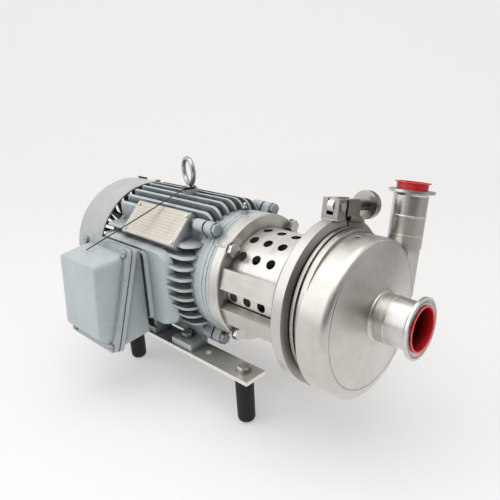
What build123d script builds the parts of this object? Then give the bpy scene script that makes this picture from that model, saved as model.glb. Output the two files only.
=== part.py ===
"""Sanitary centrifugal pump, close coupled to a finned C-face motor on a two-rail base.

Millimetres. +X points out of the suction ferrule along the shaft, +Z is up, and the
origin is the centre of the suction ferrule's face. The terminal box is on the -Y side,
called the near side here, and the discharge leaves on the +Y side, the far side.
"""
from build123d import *
from math import atan2, cos, degrees, hypot, pi, radians, sin, tan
import os

# Pipe connections: tube sizes and clamp ferrules of sanitary tubing
suction_tube_radius = 25.4
suction_ferrule_radius = 32.0
suction_gasket_radius = 28.0
discharge_tube_radius = 19.05
discharge_ferrule_radius = 25.25
discharge_gasket_radius = 21.9
tube_wall = 1.65
ferrule_rim = 2.85
ferrule_bevel = 20.0
ferrule_length = 28.6
gasket_groove_radius = 1.5

# Casing: an eccentric drum with a shallow conical front
suction_reach = 43.1
face_depth = 9.4
drum_radius = 87.5
drum_drop = 8.0
drum_length = 33.5
drum_corner_depth = 7.5
corner_steps = 4
crease_radius = 79.0
crease_drop = 3.0
crease_groove = 0.45
casing_wall = 2.5
root_flare = 3.0
discharge_tilt = 12.7
discharge_reach = 127.65
discharge_offset = 70.0
discharge_station = 66.0
outlet_start = 7.0
outlet_bore_start = 21.0
outlet_blend = 63.0
outlet_shield = 68.0
spot_station = 73.4
spot_radius = 6.0
spot_depth = 0.35
spot_hole_radius = 2.6
spot_hole_depth = 1.6
neck_radius = 81.2
neck_bore = 78.6
bead_radius = 84.8
bead_width = 4.0
groove_radius = 82.0
groove_width = 1.6
step_radius = 83.2
step_width = 4.0

# Clamped joint between casing, back plate and adapter
joint_station = 106.0
flange_radius = 88.0
flange_half = 4.4
flange_cone = 20.0
plate_rim = 3.0
plate_thickness = 6.0
register_gap = 0.3
face_gap = 0.15
o_ring_depth = 2.6
o_ring_width = 3.4
o_ring_slack = 0.3

# Band clamp with a swing bolt
clamp_radius = 93.7
clamp_land = 12.0
clamp_width = 18.6
clamp_lip = 82.9
clamp_clearance = 0.3
clamp_split = 3.0
lug_width = 20.6
lug_top = 113.0
lug_foot = 89.5
lug_near_end = 24.0
lug_near_start = 10.0
lug_far_start = -6.0
lug_notch_end = 1.8
lug_notch_height = 95.0
lug_far_end = 18.0
lug_far_foot = 32.0
lug_far_foot_height = 87.5
prong_setback = 3.0
saddle_drop = 3.0
saddle_depth = 9.0
bolt_height = 105.0
bolt_pivot_offset = 17.0
bolt_radius = 3.8
bolt_end = 46.0
eye_radius = 8.5
eye_width = 7.8
slot_clearance = 0.2
slot_floor_gap = 1.0
pivot_pin_radius = 2.5
pin_fit = 0.05
knob_seat_gap = 0.3
knob_hub_radius = 6.0
knob_hub_length = 23.5
knob_radius = 16.5
knob_thickness = 11.0
knob_edge = 3.0
knob_near_edge = 1.0
hinge_drop = 98.6
knuckle_radius = 4.6
knuckle_gap = 0.3
near_knuckle = 5.0
hinge_arm = 14.0

# Adapter casting and perforated guard
motor_face_station = 220.7
adapter_flange_radius = 79.4
adapter_flange_thickness = 14.4
adapter_bore = 50.0
register_radius = 57.15
register_height = 4.0
bar_angle = 18.5
bar_width = 24.0
bar_inner = 63.4
bar_outer = 74.8
bowl_station = 126.0
bowl_root_radius = 77.0
bowl_bore = 58.0
pocket_rear = 125.0
pocket_front = 114.5
pocket_height = 38.0
pocket_middle = -5.0
pocket_depth = 1.0
guard_radius = 63.1
guard_wall = 1.5
guard_hole_radius = 5.75
guard_rows = 3
guard_row_pitch = 21.3
guard_first_row = 195.9
guard_columns = 16
guard_end_gap = 0.2
face_bolt_circle = 149.2
face_bolt_radius = 4.7
face_bolt_flats = 14.3
face_bolt_head = 6.0
face_washer_radius = 9.0
washer_thickness = 1.6
bolt_hole_gap = 0.15

# Motor
shaft_height = 88.9
shell_radius = 72.0
shell_bore = 63.0
fin_radius = 91.5
fin_pitch = 12.7
fin_thickness = 3.6
fin_count_top = 9
fin_count_side = 9
fin_bottom = 84.0
frame_front = 247.8
frame_rear = 425.0
fin_nose = 18.0
endbell_radius = 79.0
endbell_step = 77.5
endbell_step_station = 237.4
endbell_grooves = (226.0, 232.0)
endbell_groove_width = 0.8
endbell_groove_depth = 0.5
ear_offset = 50.4
ear_height = 71.1
ear_radius = 8.0
ear_front = 233.0
ear_bolt_radius = 3.9
ear_bolt_flats = 12.7
ear_bolt_head = 5.0
bearing_outer_radius = 26.0
bearing_inner_radius = 12.5
bearing_width = 15.0
front_bearing_station = 231.0
rear_bearing_station = 425.0
ball_count = 8
bearing_fit = 0.05
motor_shaft_radius = 11.1
shaft_extension = 53.8
rotor_radius = 38.0
air_gap = 0.6
core_front = 285.0
core_rear = 380.0
winding_reach = 22.0
cover_radius = 90.3
cover_wall = 2.0
cover_front = 434.0
cover_rear = 506.0
cover_corner = 16.0
cover_slots = 24
cover_screw_angle = 75.0
fan_radius = 72.0
fan_blades = 9
fan_front = 446.0
fan_width = 30.0

# Terminal box
box_station = 371.0
box_plane = 95.0
box_gasket = 2.0
gasket_top = 36.5
gasket_bottom = -56.0
pad_front = 276.0
pad_rear = 424.5
pad_top = 43.0
pad_bottom = -58.0
pad_face = 91.7
pad_edge = 7.0
pad_slope = 9.0
pad_depth = 12.0
pad_bottom_edge = 2.0
neck_corner = 8.0
pad_corner = 20.0
neck_margin = 4.0
window_width = 50.0
window_height = 40.0
window_middle = -14.0
conduit_entry_offset = 116.0
box_back_top = 40.0
box_back_bottom = -75.0
split_top = (-108.0, 44.0)
split_bottom = (-146.5, -82.5)
split_width = 102.0
box_flange = 6.0
box_wall = 4.0
box_inset = 4.0
cover_gasket = 1.5
lid_face_top = (-158.5, 34.0)
lid_face_bottom = (-164.5, -61.0)
lid_face_width = 81.0
lid_inset = 7.0
conduit_hole_radius = 10.7
lid_screw_radius = 2.4

# Feet, rails and legs
foot_spread = 66.5
foot_inner = 52.0
foot_outer = 80.0
foot_pad = 9.0
foot_web = 5.5
front_foot_front = 262.0
front_foot_rear = 300.0
rear_foot_front = 336.0
foot_bolt_station = 284.0
bolt_radius_m8 = 3.9
bolt_flats_m8 = 13.0
bolt_head_m8 = 5.3
nut_height_m8 = 6.5
base_washer_radius = 8.6
rail_centre = 67.0
rail_width = 31.75
rail_thickness = 5.0
rail_front = 163.0
rail_rear = 425.0
rail_open_hole_station = 245.0
rail_hole_radius = 4.4
leg_front_station = 183.0
leg_rear_station = 407.0
leg_radius = 11.3
leg_taper = 0.5
leg_length = 63.1
leg_corner = 6.5
leg_bolt_depth = 25.0

# Nameplate and lifting eye
plate_angle = 45.0
plate_station = 327.0
plate_length = 106.0
plate_width = 46.0
plate_sheet = 0.9
plate_pad_distance = 95.0
plate_pad_margin = 1.0
rivet_radius = 1.6
eye_station = 334.4
eye_centre_height = 119.3
eye_ring_radius = 16.8
eye_wire = 3.2
eye_turn = -18.0
eye_boss_radius = 11.0
eye_boss_top = 96.0
eye_shank_radius = 4.8
eye_shank_depth = 14.0
eye_neck_radius = 6.1
eye_neck_height = 2.9
eye_neck_top = 2.2
tie_loop_width = 2.6
tie_loop_thickness = 1.6
tie_loop_gap = 0.25
tie_rest_gap = 0.3
tie_head_length = 4.6
tie_head_width = 5.2
tie_head_height = 3.4
tie_head_bite = 0.7
tie_tail_radius = 0.8
tie_tail_start = 0.4
tie_bend_share = 0.45
tie_crest = (-325.0, -44.0, 93.5)
tie_edge = (-334.0, -62.0, 83.0)
tie_end = (-381.0, -138.0, 39.4)

# Pump shaft, seal and impeller
stub_sleeve_radius = 19.0
stub_sleeve_rear = 213.0
stub_neck_radius = 16.0
stub_neck_rear = 160.0
seal_shaft_radius = 12.7
seal_shaft_rear = 134.0
impeller_shaft_radius = 9.5
impeller_back = 96.0
impeller_radius = 62.0
impeller_disc = 3.5
impeller_hub_radius = 17.0
impeller_hub_front = 72.0
vane_count = 5
vane_thickness = 3.0
vane_sweep = 75.0
vane_tip_gap = 2.5
nut_radius = 12.0
nut_front = 52.0
thread_radius = 7.0
seal_seat_radius = 22.0
seal_ring_radius = 19.0
seal_seat_front = 100.5
seal_seat_rear = 112.0
seal_ring_length = 5.0
seal_spring_wire = 1.0
seal_spring_turns = 3
seal_spring_length = 8.0
seal_collar_length = 6.0
running_fit = 0.04
light_fit = 0.02
key_width = 4.76
key_length = 30.0

# Shipping plugs in the two pipe ends
plug_gap = 0.25
plug_wall = 1.4
plug_depth = 20.0
plug_corner = 1.5
plug_lip_thickness = 1.3
suction_plug_lip = 0.5
discharge_plug_lip = 2.0
discharge_plug_proud = 7.5
discharge_plug_depth = 12.0

# Places worked out from the sizes above
x_root = -suction_reach
x_crease = -(suction_reach + face_depth)
x_drum_back = x_crease - drum_length
x_joint = -joint_station
x_bolt_face = -(motor_face_station - adapter_flange_thickness)
x_motor_face = -motor_face_station
x_frame_front = -frame_front
x_frame_rear = -frame_rear
z_rail = -shaft_height
z_floor = z_rail - rail_thickness - leg_length
cone_slope = tan(radians(flange_cone))


def disc(x0, x1, radius, y=0.0, z=0.0):
    """Round bar along X between two stations."""
    low = min(x0, x1)
    high = max(x0, x1)
    profile = Plane.YZ.offset(low) * Pos(y, z) * Circle(radius)
    return extrude(profile, high - low)


def ring(x0, x1, outer, inner, y=0.0, z=0.0):
    """Tube along X between two stations."""
    low = min(x0, x1)
    high = max(x0, x1)
    profile = Plane.YZ.offset(low) * Pos(y, z) * (Circle(outer) - Circle(inner))
    return extrude(profile, high - low)


def post(x, y, z0, z1, radius):
    """Round bar along Z."""
    return extrude(Plane.XY.offset(min(z0, z1)) * Pos(x, y) * Circle(radius), abs(z1 - z0))


def block(x0, x1, y0, y1, z0, z1):
    """Box between two corners."""
    size = (abs(x1 - x0), abs(y1 - y0), abs(z1 - z0))
    return Pos((x0 + x1) / 2, (y0 + y1) / 2, (z0 + z1) / 2) * Box(*size)


def turned(*points):
    """Body turned about the shaft axis from an outline of (x, radius) points."""
    return revolve(Plane.XZ * make_face(Polyline(*points, close=True)), Axis.X)


def hex_x(x0, x1, flats, y, z):
    """Hexagon bar along X."""
    low = min(x0, x1)
    profile = Plane.YZ.offset(low) * Pos(y, z) * RegularPolygon(flats / 2, 6, major_radius=False)
    return extrude(profile, abs(x1 - x0))


def hex_z(x, y, z0, z1, flats):
    """Hexagon bar along Z."""
    profile = Plane.XY.offset(min(z0, z1)) * Pos(x, y) * RegularPolygon(flats / 2, 6, major_radius=False)
    return extrude(profile, abs(z1 - z0))


def about_shaft(shape, angle):
    """Turn a shape about the shaft axis."""
    return shape.rotate(Axis.X, angle)


def leaned(shape):
    """Lean a shape drawn upright to the discharge's direction, towards the far side."""
    return about_shaft(shape, -discharge_tilt)


def around(shape, count):
    """Copies of a shape evenly spaced about the shaft axis."""
    return [about_shaft(shape, index * 360 / count) for index in range(count)]


def ferrule(tube_radius, rim_radius, groove_centre):
    """Long weld ferrule along Z, with its sealing face at zero."""
    bore = tube_radius - tube_wall
    neck = tube_radius + 1.0
    bevel_end = ferrule_rim + (rim_radius - neck) * tan(radians(ferrule_bevel))
    outline = Polyline(
        (bore, -ferrule_length), (bore, 0), (rim_radius, 0), (rim_radius, -ferrule_rim),
        (neck, -bevel_end), (tube_radius, -bevel_end - 1.5), (tube_radius, -ferrule_length),
        close=True)
    body = revolve(Plane.XZ * make_face(outline), Axis.Z)
    groove = revolve(Plane.XZ * Pos(groove_centre, 0) * Circle(gasket_groove_radius), Axis.Z)
    return body - groove


def suction_ferrule():
    """Suction ferrule, whose face holds the origin."""
    body = ferrule(suction_tube_radius, suction_ferrule_radius, suction_gasket_radius)
    return body.rotate(Axis.Y, 90)


def discharge_ferrule():
    """Discharge ferrule at the top of the leaning tube."""
    body = ferrule(discharge_tube_radius, discharge_ferrule_radius, discharge_gasket_radius)
    return leaned(Pos(-discharge_station, discharge_offset, discharge_reach) * body)


def plug(tube_radius, depth, proud, lip_reach):
    """Moulded cup pushed into a tube end along Z, open outwards, with a lip over the bore's edge."""
    radius = tube_radius - tube_wall - plug_gap
    lip = tube_radius - tube_wall + lip_reach
    top = proud + plug_lip_thickness
    outline = Polyline(
        (0, -depth), (radius - plug_corner, -depth), (radius, -depth + plug_corner), (radius, proud),
        (lip, proud), (lip, top), (radius - plug_wall, top),
        (radius - plug_wall, -depth + plug_wall), (0, -depth + plug_wall), close=True)
    return revolve(Plane.XZ * make_face(outline), Axis.Z)


def suction_plug():
    """Cup in the suction, with its lip on the ferrule's face."""
    body = plug(suction_tube_radius, plug_depth, face_gap, suction_plug_lip)
    return body.rotate(Axis.Y, 90)


def discharge_plug():
    """Cup in the discharge, not pushed fully home."""
    body = plug(discharge_tube_radius, discharge_plug_depth, discharge_plug_proud, discharge_plug_lip)
    return leaned(Pos(-discharge_station, discharge_offset, discharge_reach) * body)


def front_corner(wall):
    """Rounded front of the drum, from its eccentric rim in to the crease, less a wall all round."""
    sections = []
    for step in range(corner_steps + 1):
        turn = pi / 2 * step / corner_steps
        x = x_crease - wall - drum_corner_depth * (1 - sin(turn))
        radius = crease_radius + (drum_radius - crease_radius) * cos(turn) - wall
        drop = crease_drop + (drum_drop - crease_drop) * cos(turn)
        sections.append(Plane.YZ.offset(x) * Pos(0, -drop) * Circle(radius))
    return loft(sections)


def drum(back, wall):
    """Eccentric drum with its rounded front, less a wall all round."""
    rim = x_crease - wall - drum_corner_depth
    return disc(back, rim, drum_radius - wall, z=-drum_drop) + front_corner(wall)


def face_cone(back, front, back_radius, front_radius):
    """Oblique cone from the eccentric crease to the concentric suction root."""
    base = Plane.YZ.offset(back) * Pos(0, -crease_drop) * Circle(back_radius)
    top = Plane.YZ.offset(front) * Circle(front_radius)
    return loft([base, top])


def discharge_tube(radius, low, high):
    """Round bar along the leaning discharge axis."""
    return leaned(post(-discharge_station, discharge_offset, low, high, radius))


def casing_rear():
    """Clamp flange, neck and the stepped rings behind the drum."""
    back = x_joint + face_gap
    rim = x_joint + flange_half
    neck_start = rim + (flange_radius - neck_radius) * cone_slope
    step_start = x_drum_back - step_width
    groove_start = step_start - groove_width
    bead_start = groove_start - bead_width
    return turned(
        (back, neck_bore), (back, flange_radius), (rim, flange_radius), (neck_start, neck_radius),
        (bead_start, neck_radius), (bead_start, bead_radius), (groove_start, bead_radius),
        (groove_start, groove_radius), (step_start, groove_radius), (step_start, step_radius),
        (x_drum_back + casing_wall, step_radius), (x_drum_back + casing_wall, neck_bore))


def casing():
    """Pump casing: drum, conical front, suction stub and tangential discharge."""
    tube_high = discharge_reach - ferrule_length
    stub_end = -ferrule_length
    flare_end = x_root + root_flare
    flare_radius = suction_tube_radius + root_flare
    shell = drum(x_drum_back, 0)
    shell += face_cone(x_crease, x_root, crease_radius, flare_radius)
    shell += turned((x_crease, 0), (x_root, 0), (flare_end, 0), (flare_end, suction_tube_radius),
                    (x_root, flare_radius), (x_crease, flare_radius))
    shell += disc(x_crease, stub_end, suction_tube_radius)
    tube = discharge_tube(discharge_tube_radius, outlet_start, tube_high)
    ahead = block(x_crease, 0, 0, 2 * drum_radius, -drum_radius, tube_high)
    buried = leaned(block(x_crease, 0, 0, 2 * drum_radius, -drum_radius, outlet_blend))
    shell += tube - (ahead & buried)
    inner_front = x_crease - casing_wall
    inner_root = x_root - casing_wall
    hollow = drum(x_drum_back + casing_wall, casing_wall)
    hollow += face_cone(inner_front, inner_root, crease_radius - casing_wall, suction_tube_radius)
    hollow += disc(inner_root - casing_wall, stub_end, suction_tube_radius - tube_wall)
    bore = discharge_tube(discharge_tube_radius - tube_wall, outlet_bore_start, tube_high)
    shield = leaned(block(inner_front, 0, 0, 2 * drum_radius, -drum_radius, outlet_shield))
    shell = shell - hollow - (bore - shield)
    rear = casing_rear()
    passage = disc(x_joint, x_drum_back + casing_wall, neck_bore)
    counterbore = disc(x_joint, x_joint + o_ring_depth, neck_bore + o_ring_width)
    body = (shell + rear) - passage - counterbore
    for mark in casing_marks():
        body -= mark
    return body


def casing_marks():
    """Fine groove along the crease, and the spot face with a shallow hole on top of the drum."""
    groove = Torus(crease_radius, crease_groove).rotate(Axis.Y, 90)
    top = drum_radius - drum_drop
    spot = post(-spot_station, 0, top - spot_depth, top + spot_depth, spot_radius)
    hole = post(-spot_station, 0, top - spot_hole_depth, top, spot_hole_radius)
    return [Pos(x_crease, 0, -crease_drop) * groove, spot, hole]


def casing_o_ring():
    """Square-cut sealing ring in the casing's counterbore."""
    return ring(x_joint, x_joint + o_ring_depth - o_ring_slack,
                neck_bore + o_ring_width - o_ring_slack, neck_bore)


def back_plate():
    """Back plate: clamped rim, register inside the casing and seal bore."""
    rim_back = x_joint - plate_rim
    register_front = x_joint + plate_thickness
    register = neck_bore - register_gap
    hub_back = -seal_seat_rear
    return turned(
        (rim_back, seal_seat_radius + 6), (rim_back, flange_radius), (x_joint, flange_radius),
        (x_joint, register), (register_front, register), (register_front, seal_seat_radius + 8),
        (-seal_seat_front, seal_seat_radius + 5), (-seal_seat_front, seal_seat_radius + running_fit),
        (hub_back, seal_seat_radius + running_fit), (hub_back, seal_seat_radius + 6))


def adapter():
    """Adapter casting: motor flange, four bars and the bowl with its clamp flange."""
    stack = x_joint - plate_rim
    rim = x_joint - flange_half
    cone_end = rim - (flange_radius - neck_radius) * cone_slope
    front = turned(
        (-bowl_station, bowl_bore), (-bowl_station, bowl_root_radius), (cone_end - 6, neck_radius),
        (cone_end, neck_radius), (rim, flange_radius), (stack - face_gap, flange_radius),
        (stack - face_gap, bowl_bore + 8), (stack - 5, bowl_bore + 8), (stack - 5, bowl_bore))
    flange = ring(x_motor_face, x_bolt_face, adapter_flange_radius, adapter_bore)
    flange -= disc(x_motor_face, x_motor_face + register_height + face_gap,
                   register_radius + running_fit)
    rim_edge = flange.edges().filter_by(GeomType.CIRCLE).filter_by(
        lambda edge: edge.radius > adapter_flange_radius - 0.1).sort_by(Axis.X)[-1]
    flange = chamfer(rim_edge, 1.2)
    bars = []
    for side in (90, -90):
        for lean in (bar_angle, -bar_angle):
            bar = block(x_bolt_face - 1, -bowl_station + 1, -bar_width / 2, bar_width / 2,
                        bar_inner, bar_outer)
            bars.append(about_shaft(bar, side + lean))
    body = front + flange
    for bar in bars:
        body += bar
    for place in face_bolt_places():
        body -= disc(x_motor_face, x_bolt_face, face_bolt_radius + bolt_hole_gap, *place)
    return body - bowl_pocket(cone_end - 6)


def bowl_pocket(shoulder):
    """Shallow bare pocket in the near side of the bowl."""
    slope = (neck_radius - bowl_root_radius) / (shoulder + bowl_station)
    rear_radius = bowl_root_radius + slope * (bowl_station - pocket_rear)
    skin = turned(
        (-pocket_rear, rear_radius - pocket_depth), (shoulder, neck_radius - pocket_depth),
        (-pocket_front, neck_radius - pocket_depth), (-pocket_front, neck_radius + 1),
        (-pocket_rear, neck_radius + 1))
    low = pocket_middle - pocket_height / 2
    return skin & block(-pocket_rear, -pocket_front, -flange_radius, 0, low, low + pocket_height)


def face_bolt_places():
    """Four bolt places on the motor face, as (y, z)."""
    reach = face_bolt_circle / 2
    angles = (45, 135, 225, 315)
    return [(reach * cos(radians(angle)), reach * sin(radians(angle))) for angle in angles]


def guard():
    """Perforated sheet guard between the adapter's flange and bowl."""
    rear = x_bolt_face + guard_end_gap
    front = -bowl_station - guard_end_gap
    sheet = ring(rear, front, guard_radius, guard_radius - guard_wall)
    step = 360 / guard_columns
    for column in range(guard_columns // 2):
        if column % (guard_columns // 2) in (1, guard_columns // 2 - 1):
            continue
        for row in range(guard_rows):
            x = -guard_first_row + row * guard_row_pitch
            drill = extrude(Plane.XZ.offset(-100) * Pos(x, 0) * Circle(guard_hole_radius), 200)
            sheet -= about_shaft(drill, column * step)
    return sheet


def adapter_bolts():
    """Hexagon screws that hold the adapter on the motor face."""
    under_head = x_bolt_face + washer_thickness
    bolts = []
    for y, z in face_bolt_places():
        head = hex_x(under_head, under_head + face_bolt_head, face_bolt_flats, y, z)
        bolts.append(head + disc(x_motor_face - 9, under_head, face_bolt_radius, y, z))
    return bolts


def adapter_washers():
    """Washers under the adapter screws."""
    return [ring(x_bolt_face, x_bolt_face + washer_thickness, face_washer_radius,
                 face_bolt_radius + bolt_hole_gap, y, z) for y, z in face_bolt_places()]


def flank(radius):
    """Half width of the clamp's groove at a radius."""
    slack = clamp_clearance / cos(radians(flange_cone))
    return flange_half + (flange_radius - radius) * cone_slope + slack


def clamp_ring():
    """Whole clamp band, drawn about the joint plane."""
    floor = flange_radius + clamp_clearance
    half = clamp_width / 2
    land = clamp_land / 2
    return turned(
        (x_joint - land, clamp_radius), (x_joint + land, clamp_radius), (x_joint + half, clamp_lip),
        (x_joint + flank(clamp_lip), clamp_lip), (x_joint + flank(floor), floor),
        (x_joint - flank(floor), floor), (x_joint - flank(clamp_lip), clamp_lip),
        (x_joint - half, clamp_lip))


def knuckles(side):
    """Hinge knuckles of one clamp half: outer pair on the near side, middle one on the far."""
    half = clamp_width / 2
    inner = half - near_knuckle
    if side < 0:
        spans = [(x_joint - half, x_joint - inner), (x_joint + inner, x_joint + half)]
    else:
        spans = [(x_joint - inner + knuckle_gap, x_joint + inner - knuckle_gap)]
    solids = []
    for x0, x1 in spans:
        arm = block(x0, x1, 0, side * hinge_arm, -hinge_drop - knuckle_radius + 3, -flange_radius - 2)
        arm &= disc(x0, x1, hinge_drop + knuckle_radius - 3)
        solids.append(arm + disc(x0, x1, knuckle_radius, 0, -hinge_drop))
    return solids


def clamp_half_body(side):
    """Half of the band with its knuckles, before the lug is added."""
    reach = clamp_radius + 5
    half_space = block(x_joint - 30, x_joint + 30, side * clamp_split / 2, side * reach, -reach, reach)
    body = clamp_ring() & half_space
    cut = disc(x_joint - 30, x_joint + 30, flange_radius + clamp_clearance)
    for knuckle in knuckles(side):
        body += knuckle - cut
    return body


def clamp_half_near():
    """Clamp half that carries the swing bolt between two prongs."""
    half = lug_width / 2
    lug = block(x_joint - half, x_joint + half, -lug_near_end, -lug_near_start, lug_foot, lug_top)
    slot = eye_width / 2 + slot_clearance
    body = clamp_half_body(-1) + lug
    body -= block(x_joint - slot, x_joint + slot, -lug_near_end - 4, 0,
                  bolt_height - eye_radius - slot_floor_gap, lug_top + 1)
    body -= disc(x_joint - half, x_joint + half, pivot_pin_radius + light_fit, -bolt_pivot_offset, bolt_height)
    body -= disc(x_joint - half, x_joint + half, pivot_pin_radius + light_fit, 0, -hinge_drop)
    return leaned(body)


def clamp_half_far():
    """Clamp half whose forked lug takes the bolt's knob on a saddle."""
    half = lug_width / 2
    prong_end = lug_far_end - prong_setback
    saddle_top = bolt_height - saddle_drop
    outline = Polyline(
        (lug_notch_end, lug_foot), (lug_notch_end, lug_notch_height), (lug_far_start, lug_notch_height),
        (lug_far_start, lug_top), (prong_end, lug_top),
        (prong_end, saddle_top), (lug_far_end, saddle_top),
        (lug_far_end, bolt_height - saddle_depth), (lug_far_foot, lug_far_foot_height), close=True)
    lug = extrude(Plane.YZ.offset(x_joint - half) * make_face(outline), lug_width)
    slot = bolt_radius + slot_clearance
    body = clamp_half_body(1) + lug
    body -= block(x_joint - slot, x_joint + slot, lug_far_start - 1, lug_far_foot + 5,
                  bolt_height - bolt_radius - slot_floor_gap, lug_top + 1)
    body -= disc(x_joint - half, x_joint + half, pivot_pin_radius + pin_fit, 0, -hinge_drop)
    return leaned(body)


def clamp_hinge_pin():
    """Pin through the clamp's hinge knuckles."""
    reach = clamp_width / 2
    return leaned(disc(x_joint - reach - 2, x_joint + reach + 2, pivot_pin_radius, 0, -hinge_drop))


def clamp_pivot_pin():
    """Headed pin that the swing bolt turns on."""
    reach = lug_width / 2
    pin = disc(x_joint - reach - 1, x_joint + reach, pivot_pin_radius, -bolt_pivot_offset, bolt_height)
    head = disc(x_joint + reach, x_joint + reach + 1.8, pivot_pin_radius + 2, -bolt_pivot_offset, bolt_height)
    return leaned(pin + head)


def along_bolt(shape):
    """Place a shape drawn along Z with its zero on the pivot, so that it lies along the swing bolt."""
    laid = shape.rotate(Axis.X, -90)
    return leaned(Pos(x_joint, -bolt_pivot_offset, bolt_height) * laid)


def swing_bolt():
    """Eye bolt that swings out of the forked lug."""
    half = eye_width / 2
    eye = extrude(Plane.YZ.offset(-half) * Circle(eye_radius), eye_width)
    shank = extrude(Circle(bolt_radius), bolt_end + bolt_pivot_offset)
    body = eye + shank
    body -= extrude(Plane.YZ.offset(-half) * Circle(pivot_pin_radius + pin_fit), eye_width)
    return along_bolt(body)


def clamp_knob():
    """Domed hand nut with a narrow nose that bears on the lug's saddle."""
    seat = lug_far_end + knob_seat_gap + bolt_pivot_offset
    disc_start = seat + knob_hub_length
    bore = bolt_radius + pin_fit
    bore_end = bolt_end + bolt_pivot_offset + 0.5
    nose = extrude(Plane.XY.offset(seat) * Circle(knob_hub_radius), knob_hub_length + 1)
    grip = extrude(Plane.XY.offset(disc_start) * Circle(knob_radius), knob_thickness)
    grip = fillet(grip.edges().filter_by(GeomType.CIRCLE).sort_by(Axis.Z)[-1], knob_edge)
    grip = fillet(grip.edges().filter_by(GeomType.CIRCLE).sort_by(Axis.Z)[0], knob_near_edge)
    body = nose + grip - extrude(Plane.XY.offset(seat) * Circle(bore), bore_end - seat)
    return along_bolt(body)


def stub_shaft():
    """Pump shaft: sleeve over the motor shaft, seal diameter, impeller seat and thread."""
    sleeve_bore_end = x_motor_face + shaft_extension + 1
    body = turned(
        (-stub_sleeve_rear, 0), (-stub_sleeve_rear, stub_sleeve_radius),
        (-stub_neck_rear, stub_sleeve_radius), (-stub_neck_rear + 4, stub_neck_radius),
        (-seal_shaft_rear, stub_neck_radius), (-seal_shaft_rear, seal_shaft_radius),
        (-impeller_back, seal_shaft_radius), (-impeller_back, impeller_shaft_radius),
        (-impeller_hub_front, impeller_shaft_radius), (-impeller_hub_front, thread_radius),
        (-nut_front - 5, thread_radius), (-nut_front - 5, 0))
    body -= disc(-stub_sleeve_rear, sleeve_bore_end, motor_shaft_radius + light_fit)
    body -= shaft_key_block(0.1)
    return body


def shaft_key_block(clearance):
    """Square key between the motor shaft and the stub sleeve."""
    end = x_motor_face + shaft_extension - 4
    half = key_width / 2 + clearance
    return block(end - key_length - clearance, end + clearance, -half, half,
                 motor_shaft_radius - key_width / 2 - clearance,
                 motor_shaft_radius + key_width / 2 + clearance)


def shaft_key():
    """The key itself."""
    return shaft_key_block(0)


def motor_shaft():
    """Motor shaft with bearing seats and the fan end."""
    nose = x_motor_face + shaft_extension
    front_seat = -front_bearing_station
    rear_seat = -rear_bearing_station
    body = turned(
        (nose, 0), (nose, motor_shaft_radius), (front_seat, motor_shaft_radius),
        (front_seat, bearing_inner_radius), (front_seat - bearing_width, bearing_inner_radius),
        (front_seat - bearing_width, 15), (rear_seat, 15), (rear_seat, bearing_inner_radius),
        (rear_seat - bearing_width, bearing_inner_radius), (rear_seat - bearing_width, 9),
        (-fan_front - fan_width, 9), (-fan_front - fan_width, 0))
    return body - shaft_key_block(0.1)


def rotor_core():
    """Cast squirrel-cage rotor with end rings."""
    body = ring(-core_rear, -core_front, rotor_radius, 15.02)
    for x0, x1 in ((-core_rear - 10, -core_rear), (-core_front, -core_front + 10)):
        body += ring(x0, x1, rotor_radius - 3, rotor_radius - 14)
    return body


def cooling_fan():
    """Radial-blade fan on the rear shaft end."""
    rear = -fan_front - fan_width
    body = ring(rear, -fan_front, 15, 9.02)
    body += ring(-fan_front - 3, -fan_front, fan_radius * 0.62, 9.02)
    blade = block(rear + 2, -fan_front, -1.2, 1.2, 13, fan_radius)
    for copy in around(blade, fan_blades):
        body += copy
    return body


def impeller_vane():
    """One backward-curved vane, drawn as an arc band and extruded along the shaft."""
    hub = impeller_hub_radius - 1
    start = Vector(hub, 0)
    end = Vector(impeller_radius * cos(radians(vane_sweep)), impeller_radius * sin(radians(vane_sweep)))
    middle_angle = radians(vane_sweep * 0.36)
    middle = Vector((hub + impeller_radius) * 0.56 * cos(middle_angle),
                    (hub + impeller_radius) * 0.56 * sin(middle_angle))
    spine = ThreePointArc(start, middle, end)
    band = trace(Plane.XY * spine, line_width=vane_thickness)
    return extrude(band, impeller_back - suction_reach)


def impeller():
    """Semi-open impeller: disc, hub and curved vanes trimmed to the casing's cone."""
    back = -impeller_back
    disc_front = back + impeller_disc
    tip_front = x_crease - casing_wall - vane_tip_gap
    eye_front = x_root - casing_wall - vane_tip_gap - 2
    envelope = turned((back, 0), (back, impeller_radius), (tip_front, impeller_radius),
                      (eye_front, suction_tube_radius), (eye_front, nut_radius + 3),
                      (-impeller_hub_front, nut_radius + 1), (-impeller_hub_front, 0))
    body = disc(back, disc_front, impeller_radius) + disc(back, -impeller_hub_front, impeller_hub_radius)
    vane = impeller_vane().rotate(Axis.Y, 90).translate((disc_front - 0.5, 0, 0))
    for copy in around(vane, vane_count):
        body += copy & envelope
    return body - disc(back, -impeller_hub_front + 1, impeller_shaft_radius + light_fit)


def impeller_nut():
    """Domed cap nut on the shaft's front thread."""
    back = -impeller_hub_front + 0.05
    front = -nut_front
    body = disc(back, front, nut_radius)
    body = fillet(body.edges().filter_by(GeomType.CIRCLE).sort_by(Axis.X)[-1], nut_radius * 0.75)
    body &= hex_x(back, front, nut_radius * 1.9, 0, 0)
    return body - disc(back, front - 4.5, thread_radius + light_fit)


def seal_seat():
    """Stationary seal face in the back plate."""
    return ring(-seal_seat_rear, -seal_seat_front, seal_seat_radius, seal_shaft_radius + 1.0)


def seal_ring():
    """Rotating seal face behind the seat."""
    front = -seal_seat_rear - 0.1
    return ring(front - seal_ring_length, front, seal_ring_radius, seal_shaft_radius + running_fit)


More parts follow.
